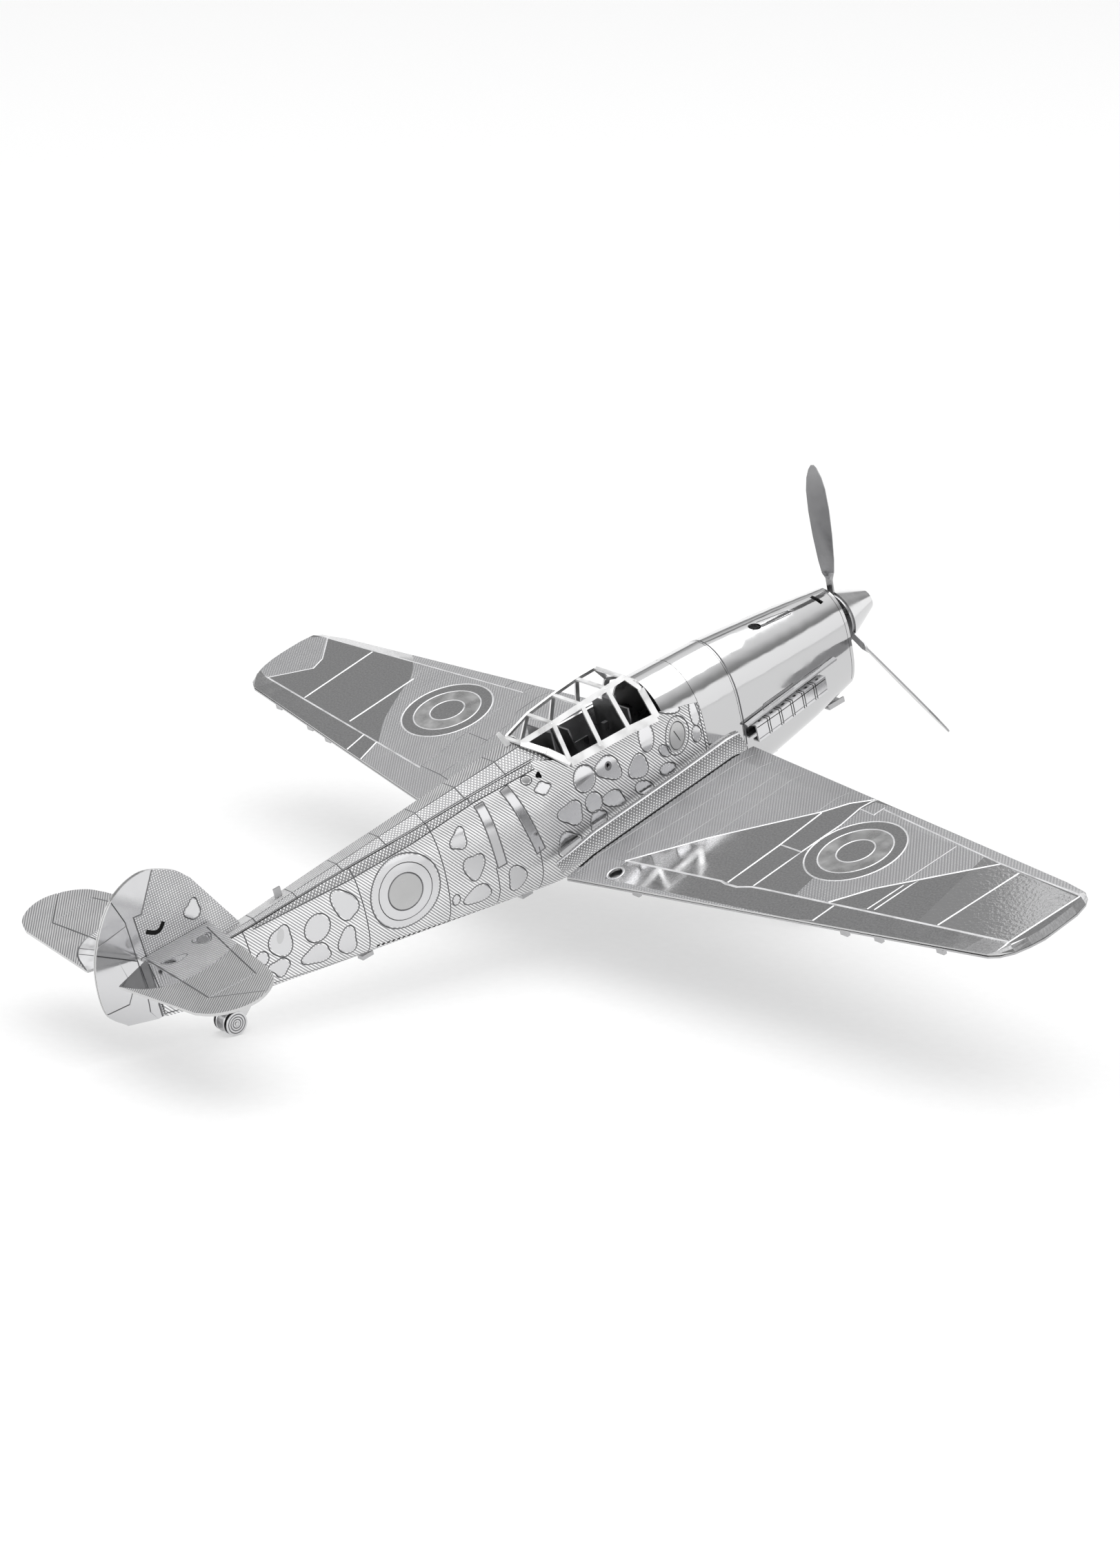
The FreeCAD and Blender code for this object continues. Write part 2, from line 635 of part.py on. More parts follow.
def propeller():
    """Three-bladed etched sheet round a bored hub disc."""
    blade = loft([blade_section(row[0]) for row in BLADE_CHORDS])
    disc = rod((0, PROP_Y - HUB_THICK / 2, 0), (0, 1, 0), HUB_THICK, HUB_RADIUS)
    blades = []
    for i in range(BLADE_COUNT):
        turned = blade.copy()
        turned.rotate(Vector(0, 0, 0), Vector(0, 1, 0), -BLADE_PHASE_DEG - i * 360.0 / BLADE_COUNT)
        blades.append(turned)
    bore = rod((0, PROP_Y - 1, 0), (0, 1, 0), 2, SHAFT_R)
    return fused([disc] + blades).cut(bore)


def spinner():
    """Hollow cone, its small front end flat."""
    base_y = PROP_Y - HUB_THICK / 2 - 0.02
    length = base_y - SPINNER_TIP_Y
    shell = Part.makeCone(SPINNER_BASE_R, SPINNER_TIP_R, length, Vector(0, base_y, 0),
                          Vector(0, -1, 0))
    core = Part.makeCone(SPINNER_BASE_R - SHEET, SPINNER_TIP_R - SHEET, length - SHEET,
                         Vector(0, base_y, 0), Vector(0, -1, 0))
    return shell.cut(core)


def spinner_backplate():
    plate_y = PROP_Y + HUB_THICK / 2 + 0.02
    disc = rod((0, plate_y, 0), (0, 1, 0), SHEET, 1.9)
    return disc.cut(rod((0, plate_y - 1, 0), (0, 1, 0), 2, SHAFT_R))


NOSE_PLATE_Y = 1.1


def propeller_shaft():
    return rod((0, -3.6, 0), (0, 1, 0), 6.4, SHAFT_R)


def shaft_collar():
    """Washer that keeps the shaft from pulling out of the nose plate."""
    start = (0, NOSE_PLATE_Y + SHEET + 0.15, 0)
    return rod(start, (0, 1, 0), 0.5, 1.3).cut(rod((0, 0, 0), (0, 1, 0), 4, SHAFT_R))


# ---- folded tabs that lock the sheets ----
TAB_SPANS = (15.6, 42.8, 47.0, 54.5)


def locking_tabs():
    """Tab ends under the trailing edges, on the spine and along the belly."""
    tabs = []
    for x in TAB_SPANS:
        edge = wing_point(x, 0.985, -LOWER_SKIN_DROP - 0.02)
        for side in (-1, 1):
            centre = Vector(side * edge.x, edge.y, edge.z)
            tabs.append(block((centre.x - 0.5, centre.x + 0.5), (centre.y - 0.25, centre.y + 0.15),
                              (centre.z - 0.5, centre.z)))
    for y in (46.9, 67.1):
        low = section_height(y + 0.7, 0.0, False) - 0.35
        tabs.append(block((-0.45, 0.45), (y - 0.7, y + 0.7), (low - 0.45, low)))
    chin = section_height(12.3, 0.0, False) - 0.05
    tabs.append(block((-0.5, 0.5), (11.4, 12.3), (chin - 0.4, chin)))
    top = section_height(74.4, 0.0) + 0.02
    tabs.append(block((-0.1, 0.1), (74.4, 75.2), (top, top + 1.0)))
    return Part.makeCompound(tabs)


# ---- place and write ----
def ground_level():
    """Level that the wheels stand on, once the model is pitched nose-up."""
    tail_y, tail_z = TAIL_WHEEL_YZ
    return tail_z * math.cos(PITCH) - tail_y * math.sin(PITCH) - TAIL_WHEEL_R


def to_row(shape, middle_y):
    placed = shape.copy()
    placed.rotate(Vector(0, 0, 0), Vector(1, 0, 0), -STANCE_DEG)
    placed.translate(Vector(0, -middle_y, -ground_level()))
    return placed


PAIRS = {
    "fuselage_side": fuselage_side, "wing_upper_skin": wing_upper, "wing_lower_skin": wing_lower,
    "wing_spar": wing_spar, "wing_fillet": wing_fillet, "radiator": radiator, "exhaust_row": exhaust_row,
    "exhaust_shelf": exhaust_shelf, "tailplane": tailplane, "fin_rudder_skin": fin_rudder,
    "gear_leg": gear_leg, "gear_door": gear_door, "main_wheel": main_wheel, "wheel_axle": wheel_axle,
}
SINGLES = {
    "engine_cowling": engine_cowling,
    "forward_shell": lambda: hull_shell([SEAM_Y + GAP, SKIN_FRONT_Y]),
    "cowl_deck": cowl_deck, "spine_panel": spine_panel, "belly_strip": belly_strip,
    "nose_bulkhead": lambda: bulkhead(NOSE_PLATE_Y, hole=SHAFT_R + RUNNING),
    "firewall": lambda: bulkhead(18.6),
    "rear_bulkhead": lambda: bulkhead(44.6),
    "canopy_frame": canopy_frame, "cockpit_floor": cockpit_floor, "seat": seat,
    "instrument_panel": instrument_panel, "control_stick": control_stick,
    "headrest_frame": headrest_frame, "oil_cooler": oil_cooler,
    "supercharger_intake": supercharger_intake, "antenna_mast": antenna_mast,
    "tail_wheel": tail_wheel, "tail_wheel_fork": tail_fork, "tail_wheel_axle": tail_axle,
    "propeller": propeller, "spinner": spinner, "spinner_backplate": spinner_backplate,
    "propeller_shaft": propeller_shaft, "shaft_collar": shaft_collar, "locking_tabs": locking_tabs,
}


def build_all():
    shapes = {name: make() for name, make in SINGLES.items()}
    for name, make in PAIRS.items():
        port = make()
        shapes[name + "_left"] = port
        shapes[name + "_right"] = mirrored(port)
    return shapes


def main():
    shapes = build_all()
    level = Part.makeCompound(list(shapes.values())).copy()
    level.rotate(Vector(0, 0, 0), Vector(1, 0, 0), -STANCE_DEG)
    box = level.optimalBoundingBox(False)
    middle_y = (box.YMin + box.YMax) / 2
    print("middle_y", middle_y, "ground", ground_level(), "wheel_z", WHEEL_Z, "size", box)
    for name, shape in sorted(shapes.items()):
        placed = to_row(shape, middle_y)
        if not placed.isValid():
            print("INVALID", name)
        if placed.Volume <= 0:
            print("NEGATIVE", name, placed.Volume)
        placed.exportStep(f"parts/{name}.step")
    print(len(shapes), "nodes")


main()
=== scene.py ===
import math

import bpy
import numpy as np
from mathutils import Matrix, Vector
from mathutils.geometry import delaunay_2d_cdt


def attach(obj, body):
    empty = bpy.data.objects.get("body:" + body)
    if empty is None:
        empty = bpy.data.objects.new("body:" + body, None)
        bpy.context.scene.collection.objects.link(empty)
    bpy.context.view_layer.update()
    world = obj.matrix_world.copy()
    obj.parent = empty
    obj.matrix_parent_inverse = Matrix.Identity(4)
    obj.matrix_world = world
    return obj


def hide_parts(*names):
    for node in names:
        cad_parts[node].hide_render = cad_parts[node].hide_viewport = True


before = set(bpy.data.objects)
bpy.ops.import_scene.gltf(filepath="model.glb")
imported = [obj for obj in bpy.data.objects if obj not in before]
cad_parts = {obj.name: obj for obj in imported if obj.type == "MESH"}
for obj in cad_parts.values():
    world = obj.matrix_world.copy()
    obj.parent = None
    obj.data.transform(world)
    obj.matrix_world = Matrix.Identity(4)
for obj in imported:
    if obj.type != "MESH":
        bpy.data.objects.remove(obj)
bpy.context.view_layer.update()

# Shapes are worked out in the aeroplane's own axes in mm: x to port, y aft, z up from the thrust line.
# row() pitches them nose-up on to the wheels and turns them into metres.
PITCH = math.radians(15.955)
MIDDLE_Y = 44.5856
GROUND_Z = -29.5733
MM = 0.001
GAUGE = 0.2

HULL = np.array([
    # y, half width, z of the widest line, top, bottom, exponent of the upper half
    (0.35, 2.95, -0.6, 3.85, -7.8, 2.0),
    (6.0, 3.65, -0.5, 4.55, -9.1, 2.0),
    (14.0, 4.3, -0.4, 5.35, -10.5, 2.0),
    (18.2, 4.5, -0.4, 5.7, -10.9, 2.0),
    (28.4, 4.75, -0.4, 5.9, -11.0, 2.0),
    (44.0, 4.7, -0.4, 6.1, -10.2, 2.0),
    (60.0, 3.2, -0.2, 5.0, -7.5, 2.6),
    (80.0, 1.35, 0.2, 3.6, -4.2, 4.0),
    (90.5, 0.55, 0.8, 3.4, -1.9, 4.0)])
BOTTOM_EXPONENT = 2.6
SIDE_TOP = [(23.15, 4.3), (28.4, 3.95), (40.3, 3.85), (43.8, 2.9), (60.0, 2.2), (80.0, 1.1), (90.5, 0.5)]
WING_FOLDS = ((0.0, 0.0), (0.11, 0.45), (0.855, 0.42), (1.0, 0.0))
# Rounded wing tip: y and x from the leading edge to the trailing edge
TIP = ((25.45, 61.2), (26.1, 62.2), (27.0, 62.8), (28.6, 63.15), (30.2, 63.2), (31.6, 63.2), (33.0, 63.1),
       (34.4, 62.8), (36.0, 62.2), (37.1, 61.3), (37.7, 60.2))
TIP_BEND = 0.45
TIP_REAR_Y, TIP_REAR_RUN, TIP_DROP = 37.3, 0.9, 0.22
# Straight wing: root and shoulder distance, then root value and change of each edge over that distance
ROOT_X, SHOULDER_RUN = 6.0, 55.7
LE_Y, LE_SWEEP, LE_Z, LE_RISE = 18.8, 6.7, -4.96, 1.46
TE_Y, TE_SWEEP, TE_Z, TE_RISE = 45.7, 8.2, -7.1, 2.8


def row(points):
    """Aeroplane axes in mm to the row frame in metres, for an (n, 3) array."""
    p = np.asarray(points, float).reshape(-1, 3)
    c, s = math.cos(PITCH), math.sin(PITCH)
    return np.stack([p[:, 0],
                     p[:, 1] * c + p[:, 2] * s - MIDDLE_Y,
                     -p[:, 1] * s + p[:, 2] * c - GROUND_Z], 1) / 1000


# ---------------------------------------------------------------- surfaces
def table(pairs, at):
    pairs = np.array(pairs)
    return np.interp(at, pairs[:, 0], pairs[:, 1])


def section(y):
    """Port half sections at stations y: x, z and arc length, zero at the widest line and positive upwards."""
    y = np.atleast_1d(np.asarray(y, float))
    width, middle, top, bottom, power = [np.interp(y, HULL[:, 0], HULL[:, k])[:, None] for k in range(1, 6)]
    angle = np.linspace(0.0, math.pi / 2, 49)
    angle = np.concatenate([angle, angle[::-1][1:]])[None, :]
    upper = (np.arange(97) >= 49)[None, :]
    share = np.where(upper, 2.0 / power, 2.0 / BOTTOM_EXPONENT)
    reach = np.where(upper, top - middle, bottom - middle)
    x = width * np.sin(angle) ** share
    z = middle + reach * np.abs(np.cos(angle)) ** share
    run = np.concatenate([np.zeros((len(y), 1)), np.cumsum(np.hypot(np.diff(x), np.diff(z)), 1)], 1)
    return x, z, run - run[:, 48:49]


def hull(y, s, side):
    """Point on the hull at station y and arc length s, on one side."""
    x, z, run = section(y)
    px = np.array([np.interp(s[i], run[i], x[i]) for i in range(len(s))])
    pz = np.array([np.interp(s[i], run[i], z[i]) for i in range(len(s))])
    return np.stack([side * px, y, pz], 1)


def arc_at(y, half, upper):
    """Arc length on the hull where the half-breadth is half."""
    x, z, run = section(y)
    part = slice(48, 97) if upper else slice(0, 49)
    xs, rs = x[0, part], run[0, part]
    order = np.argsort(xs)
    return float(np.interp(half, xs[order], rs[order]))


def hull_wrap(y, t):
    """Whole girth in one sheet: t is the arc length from the crown, port positive."""
    x, z, run = section(y)
    crown = run[:, -1]
    s = crown - np.abs(t)
    px = np.array([np.interp(s[i], run[i], x[i]) for i in range(len(t))])
    pz = np.array([np.interp(s[i], run[i], z[i]) for i in range(len(t))])
    return np.stack([np.sign(t) * px, y, pz], 1)


def wing_edges(x):
    """Share of the way from root to shoulder, and y of the leading and trailing edges there."""
    share = (x - ROOT_X) / SHOULDER_RUN
    return share, LE_Y + share * LE_SWEEP, TE_Y - share * TE_SWEEP


def wing(x, y, side):
    """Upper wing sheet over plan position x, y; its tip turns down to the lower skin."""
    share, le_y, te_y = wing_edges(x)
    le_z = LE_Z + share * LE_RISE
    te_z = TE_Z + share * TE_RISE
    chord = np.clip((y - le_y) / (te_y - le_y), 0, 1)
    z = le_z + chord * (te_z - le_z)
    turned = (np.clip((x - table(TIP, y)) / TIP_BEND + 1, 0, 1)
              * np.clip((TIP_REAR_Y - y) / TIP_REAR_RUN, 0, 1))
    z = z + table(WING_FOLDS, chord) * (1 - turned) - TIP_DROP * turned
    return np.stack([side * x, y, z], 1)


def chord_line(share, xs):
    """Points at one chord fraction for several spans."""
    points = []
    for x in xs:
        _, le_y, te_y = wing_edges(x)
        points.append((x, le_y + share * (te_y - le_y)))
    return points


# ---------------------------------------------------------------- flat patterns
def loop(cx, cy, rx, ry=None, turn=0.0, lobes=(), count=36):
    """Closed outline round a centre; lobes are (waves, share, phase)."""
    ry = rx if ry is None else ry
    points = []
    for i in range(count):
        a = 2 * math.pi * i / count
        r = 1.0 + sum(share * math.cos(waves * a + phase) for waves, share, phase in lobes)
        px, py = rx * r * math.cos(a), ry * r * math.sin(a)
        points.append((cx + px * math.cos(turn) - py * math.sin(turn),
                       cy + px * math.sin(turn) + py * math.cos(turn)))
    return points


def curve(points, steps=6):
    """Smooth open curve through a few points."""
    p = [np.array(q, float) for q in points]
    p = [2 * p[0] - p[1]] + p + [2 * p[-1] - p[-2]]
    out = []
    for i in range(1, len(p) - 2):
        for k in range(steps):
            t = k / steps
            out.append(0.5 * (2 * p[i] + (p[i + 1] - p[i - 1]) * t
                              + (2 * p[i - 1] - 5 * p[i] + 4 * p[i + 1] - p[i + 2]) * t * t
                              + (3 * p[i] - p[i - 1] - 3 * p[i + 1] + p[i + 2]) * t ** 3))
    out.append(p[-2])
    return [tuple(q) for q in out]


def box(cx, cy, along, across, turn=0.0):
    c, s = math.cos(turn), math.sin(turn)
    half = ((-along, -across), (along, -across), (along, across), (-along, across))
    return [(cx + a / 2 * c - b / 2 * s, cy + a / 2 * s + b / 2 * c) for a, b in half]


def inside(points, polygon):
    """Which points lie in a polygon."""
    poly = np.asarray(polygon, float)
    x, y = points[:, 0], points[:, 1]
    hit = np.zeros(len(points), bool)
    for (x0, y0), (x1, y1) in zip(poly, np.roll(poly, -1, 0)):
        if y0 == y1:
            continue
        cross = (y0 > y) != (y1 > y)
        hit ^= cross & (x < (x1 - x0) * (y - y0) / (y1 - y0) + x0)
    return hit


def offset(points, distance, closed):
    """Polyline moved sideways."""
    p = np.asarray(points, float)
    ahead = np.roll(p, -1, 0)
    behind = np.roll(p, 1, 0)
    if not closed:
        ahead[-1] = 2 * p[-1] - p[-2]
        behind[0] = 2 * p[0] - p[1]
    a, b = p - behind, ahead - p
    a /= np.maximum(np.linalg.norm(a, axis=1, keepdims=True), 1e-9)
    b /= np.maximum(np.linalg.norm(b, axis=1, keepdims=True), 1e-9)
    n = np.stack([-(a[:, 1] + b[:, 1]), a[:, 0] + b[:, 0]], 1)
    n /= np.maximum(np.linalg.norm(n, axis=1, keepdims=True), 1e-9)
    miter = np.maximum(0.5, np.abs(n[:, 0] * -a[:, 1] + n[:, 1] * a[:, 0]))[:, None]
    return p + n * distance / miter


def groove_depth(points, grooves):
    """Share of the full groove depth at each point: one at a centre line, zero at its edge."""
    depth = np.zeros(len(points))
    for line, width, closed, *_ in grooves:
        p = np.asarray(line, float)
        ends = np.roll(p, -1, 0) if closed else p[1:]
        starts = p if closed else p[:-1]
        low, high = p.min(0) - width, p.max(0) + width
        near = np.where(((points > low) & (points < high)).all(1))[0]
        if not len(near):
            continue
        q = points[near]
        best = np.full(len(near), 1e9)
        for a, b in zip(starts, ends):
            d = b - a
            t = np.clip(((q - a) @ d) / max(d @ d, 1e-12), 0, 1)
            best = np.minimum(best, np.hypot(*(q - a - t[:, None] * d).T))
        depth[near] = np.maximum(depth[near], np.clip(1 - best / (width / 2), 0, 1))
    return depth


def split_long(points, closed, step):
    """The same line with no span longer than step."""
    p = [np.array(q, float) for q in points]
    pairs = list(zip(p, p[1:] + [p[0]])) if closed else list(zip(p, p[1:]))
    out = []
    for a, b in pairs:
        n = max(1, math.ceil(np.linalg.norm(b - a) / step))
        out += [a + (b - a) * k / n for k in range(n)]
    if not closed:
        out.append(p[-1])
    return out


# Of these, "gap" and "shade" carry painted shade, "facet" partly, and "ridge" a painted highlight on the
# exhaust tops.
CLASSES = ["hatch", "fine", "shade", "facet", "dots", "peel", "gap", "field", "rib", "slant",
           "polish", "mirror", "satin", "groove", "ridge", "edge", "inner"]


def sheet(name, node, place, outline, away, holes=(), zones=(), grooves=(), folds=(),
          base="hatch", smooth=False, step=1.2, grid=None, gauge=GAUGE, depth=0.06, both=False,
          body="airframe", line_class="groove"):
    """Etched sheet from its flat pattern.

    place(u, v) gives aeroplane points, away(points) the outward side.
    zones are (polygon, class), later ones on top.
    grooves are (line, width, closed) or (line, width, closed, class): half-etched lines.
    folds are lines the sheet bends along.
    """
    lines = [(outline, True)]
    lines += [(hole, True) for hole in holes]
    lines += [(polygon, True) for polygon, _ in zones]
    lines += [(fold, False) for fold in folds]
    for line, width, closed, *_ in grooves:
        lines += [(line, closed),
                  (offset(line, width / 2, closed), closed),
                  (offset(line, -width / 2, closed), closed)]
    verts, edges = [], []
    for line, closed in lines:
        pts = split_long(line, closed, step)
        first = len(verts)
        verts += [Vector((float(q[0]), float(q[1]))) for q in pts]
        edges += [(first + i, first + i + 1) for i in range(len(pts) - 1)]
        if closed:
            edges.append((first + len(pts) - 1, first))
    if grid:
        low, high = np.min(outline, 0), np.max(outline, 0)
        us = np.arange(low[0] + grid[0] / 2, high[0], grid[0])
        vs = np.arange(low[1] + grid[1] / 2, high[1], grid[1])
        pts = np.array([(u, v + (grid[1] / 2 if i % 2 else 0)) for i, u in enumerate(us) for v in vs])
        keep = inside(pts, outline)
        verts += [Vector((float(a), float(b))) for a, b in pts[keep]]
    out, _, tris, *_ = delaunay_2d_cdt(verts, edges, [], 0, 1e-4, False)
    uv = np.array([tuple(v) for v in out], float)
    tris = np.array([t for t in tris if len(t) == 3], int)
    centre = uv[tris].mean(1)
    keep = inside(centre, outline)
    for h in holes:
        keep &= ~inside(centre, h)
    area = np.cross(uv[tris[:, 1]] - uv[tris[:, 0]], uv[tris[:, 2]] - uv[tris[:, 0]])
    keep &= np.abs(area) > 1e-7
    tris, centre = tris[keep], centre[keep]
    used, tris = np.unique(tris, return_inverse=True)
    tris = tris.reshape(-1, 3)
    uv = uv[used]
    kind = np.full(len(tris), CLASSES.index(base))
    for polygon, cls in zones:
        kind[inside(centre, polygon)] = CLASSES.index(cls)
    for own in sorted({line[3] if len(line) > 3 else line_class for line in grooves}):
        lines_of = [line for line in grooves if (line[3] if len(line) > 3 else line_class) == own]
        kind[groove_depth(centre, lines_of) > 0.02] = CLASSES.index(own)
    down = groove_depth(uv, grooves) * depth
    eps = 0.02
    top = place(uv[:, 0], uv[:, 1])
    du = place(uv[:, 0] + eps, uv[:, 1]) - place(uv[:, 0] - eps, uv[:, 1])
    dv = place(uv[:, 0], uv[:, 1] + eps) - place(uv[:, 0], uv[:, 1] - eps)
    normal = np.cross(du, dv)
    normal /= np.maximum(np.linalg.norm(normal, axis=1, keepdims=True), 1e-12)
    normal *= np.sign(np.sum(normal * away(top), 1, keepdims=True) + 1e-9)
    outer = top - normal * down[:, None]
    under = top - normal * ((gauge - down if both else gauge) * np.ones(len(uv)))[:, None]
    count = len(uv)
    points = row(np.concatenate([outer, under]))
    turn = row(normal + top) - row(top)
    turn /= np.maximum(np.linalg.norm(turn, axis=1, keepdims=True), 1e-12)
    face_n = np.cross(points[tris[:, 1]] - points[tris[:, 0]], points[tris[:, 2]] - points[tris[:, 0]])
    flip = np.sum(face_n * turn[tris[:, 0]], 1) < 0
    tris[flip] = tris[flip][:, ::-1]
    pair = np.sort(np.concatenate([tris[:, [0, 1]], tris[:, [1, 2]], tris[:, [2, 0]]]), 1)
    directed = np.concatenate([tris[:, [0, 1]], tris[:, [1, 2]], tris[:, [2, 0]]])
    _, back, times = np.unique(pair, axis=0, return_inverse=True, return_counts=True)
    rim = directed[times[back.ravel()] == 1]
    faces = [tuple(t) for t in tris] + [tuple(t[::-1] + count) for t in tris]
    faces += [(b, a, a + count, b + count) for a, b in rim]
    other = kind if both else np.full(len(tris), CLASSES.index("inner"))
    kinds = np.concatenate([kind, other, np.full(len(rim), CLASSES.index("edge"))])

    mesh = bpy.data.meshes.new(name)
    mesh.from_pydata([tuple(p) for p in points], [], [tuple(int(i) for i in f) for f in faces])
    mesh.polygons.foreach_set("material_index", kinds.astype(np.int32))
    flat_uv = np.concatenate([uv, uv])
    corner = np.zeros(len(mesh.loops), np.int32)
    mesh.loops.foreach_get("vertex_index", corner)
    layer = mesh.uv_layers.new(name="flat")
    layer.data.foreach_set("uv", flat_uv[corner].astype(np.float32).ravel())
    for cls in CLASSES:
        mesh.materials.append(MATERIALS[cls])
    if smooth:
        mesh.polygons.foreach_set("use_smooth", np.ones(len(faces), bool))
        mesh.update()
        fn = np.zeros(len(faces) * 3, np.float32)
        mesh.polygons.foreach_get("normal", fn)
        fn = fn.reshape(-1, 3)
        both_turn = np.concatenate([turn, -turn])
        sizes = np.array([len(f) for f in faces])
        of_face = np.repeat(np.arange(len(faces)), sizes)
        flat = np.isin(kinds[of_face], [CLASSES.index(c) for c in ("groove", "ridge", "edge")])
        loops = np.where(flat[:, None], fn[of_face], both_turn[corner])
        mesh.normals_split_custom_set(loops.tolist())
    mesh.validate()
    mesh.update()
    piece = bpy.data.objects.new(name, mesh)
    bpy.context.scene.collection.objects.link(piece)
    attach(piece, body)
    if node:
        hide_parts(node)
    return piece


# ---------------------------------------------------------------- materials
def steel(name, colour, rough, build=None, mapped=True):
    """Bare stainless steel. build(nodes, links, coordinates, bsdf) adds its surface."""
    mat = bpy.data.materials.new(name)
    mat.use_nodes = True
    nodes, links = mat.node_tree.nodes, mat.node_tree.links
    bsdf = nodes["Principled BSDF"]
    bsdf.inputs["Metallic"].default_value = 1.0
    bsdf.inputs["Base Color"].default_value = (*colour, 1)
    bsdf.inputs["Roughness"].default_value = rough
    place = nodes.new("ShaderNodeTexCoord")
    coordinates = place.outputs["UV"] if mapped else place.outputs["Object"]
    if not mapped:
        scale = nodes.new("ShaderNodeMapping")
        scale.inputs["Scale"].default_value = (1000, 1000, 1000)
        links.new(coordinates, scale.inputs["Vector"])
        coordinates = scale.outputs["Vector"]
    if build:
        build(nodes, links, coordinates, bsdf)
    return mat


def math_node(nodes, links, kind, a, b=None):
    node = nodes.new("ShaderNodeMath")
    node.operation = kind
    for socket, value in zip(node.inputs, (a, b)):
        if value is None:
            continue
        if isinstance(value, (int, float)):
            socket.default_value = value
        else:
            links.new(value, socket)
    return node.outputs[0]


def noise(nodes, links, coordinates, scale, detail=3.0, rough=0.55):
    node = nodes.new("ShaderNodeTexNoise")
    node.inputs["Scale"].default_value = scale
    node.inputs["Detail"].default_value = detail
    node.inputs["Roughness"].default_value = rough
    links.new(coordinates, node.inputs["Vector"])
    return node.outputs["Fac"]


def remap(nodes, links, value, low, high, from_low=0.3, from_high=0.7):
    node = nodes.new("ShaderNodeMapRange")
    node.inputs["From Min"].default_value = from_low
    node.inputs["From Max"].default_value = from_high
    node.inputs["To Min"].default_value = low
    node.inputs["To Max"].default_value = high
    links.new(value, node.inputs["Value"])
    return node.outputs["Result"]


def tint(nodes, links, value, dark, light, bsdf):
    ramp = nodes.new("ShaderNodeValToRGB")
    ramp.color_ramp.elements[0].position = 0.25
    ramp.color_ramp.elements[1].position = 0.75
    ramp.color_ramp.elements[0].color = (*dark, 1)
    ramp.color_ramp.elements[1].color = (*light, 1)
    links.new(value, ramp.inputs["Fac"])
    links.new(ramp.outputs["Color"], bsdf.inputs["Base Color"])


def bump(nodes, links, height, distance, strength, bsdf, under=None):
    node = nodes.new("ShaderNodeBump")
    node.inputs["Distance"].default_value = distance
    node.inputs["Strength"].default_value = strength
    links.new(height, node.inputs["Height"])
    if under is not None:
        links.new(under, node.inputs["Normal"])
    links.new(node.outputs["Normal"], bsdf.inputs["Normal"])
    return node.outputs["Normal"]


def stripes(nodes, links, coordinates, pitch, turn):
    """Parallel etched lines, 0 to 1, one every pitch mm."""
    split = nodes.new("ShaderNodeSeparateXYZ")
    links.new(coordinates, split.inputs[0])
    a = math_node(nodes, links, "MULTIPLY", split.outputs["X"], math.cos(turn) * 2 * math.pi / pitch)
    b = math_node(nodes, links, "MULTIPLY", split.outputs["Y"], math.sin(turn) * 2 * math.pi / pitch)
    wave = math_node(nodes, links, "SINE", math_node(nodes, links, "ADD", a, b))
    return math_node(nodes, links, "MULTIPLY_ADD", wave, 0.5)


def etched(pitch, turns, depth, dark, light, rough):
    """Half-etched hatch: lines at each turn, darker and rougher in their bottoms."""
    def build(nodes, links, coordinates, bsdf):
        height = stripes(nodes, links, coordinates, pitch, turns[0])
        for turn in turns[1:]:
            height = math_node(nodes, links, "MULTIPLY", height,
                               stripes(nodes, links, coordinates, pitch, turn))
        cloudy = noise(nodes, links, coordinates, 0.35)
        mixed = math_node(nodes, links, "ADD", math_node(nodes, links, "MULTIPLY", height, 0.7),
                          math_node(nodes, links, "MULTIPLY", cloudy, 0.3))
        tint(nodes, links, mixed, dark, light, bsdf)
        links.new(remap(nodes, links, mixed, rough + 0.12, rough - 0.06), bsdf.inputs["Roughness"])
        bump(nodes, links, height, depth, 0.8, bsdf)
    return build


def polished(rough, wave, grain):
    """Rolled bright sheet: faint waviness, fine grain, a few cloudy patches."""
    def build(nodes, links, coordinates, bsdf):
        cloudy = noise(nodes, links, coordinates, 0.5, 4.0)
        links.new(remap(nodes, links, cloudy, rough * 0.6, rough * 1.6), bsdf.inputs["Roughness"])
        slow = noise(nodes, links, coordinates, 0.22, 1.0)
        first = bump(nodes, links, slow, wave, 0.5, bsdf)
        fine = noise(nodes, links, coordinates, 7.0, 2.0)
        bump(nodes, links, fine, grain, 0.5, bsdf, first)
    return build


def speckled(rough, dark, light):
    """Bright sheet with a faint rolling grain."""
    def build(nodes, links, coordinates, bsdf):
        grain = noise(nodes, links, coordinates, 4.5, 3.0)
        tint(nodes, links, grain, dark, light, bsdf)
        cloudy = noise(nodes, links, coordinates, 0.5, 4.0)
        links.new(remap(nodes, links, cloudy, rough * 0.6, rough * 1.6), bsdf.inputs["Roughness"])
        slow = noise(nodes, links, coordinates, 0.22, 1.0)
        first = bump(nodes, links, slow, 0.02 * MM, 0.5, bsdf)
        bump(nodes, links, grain, 0.003 * MM, 0.6, bsdf, first)
    return build


BOW_X, BOW_Y, BOW_OUT, BOW_AHEAD, BOW_SINK = 50.0, 31.0, 0.8, -0.7, -0.0055


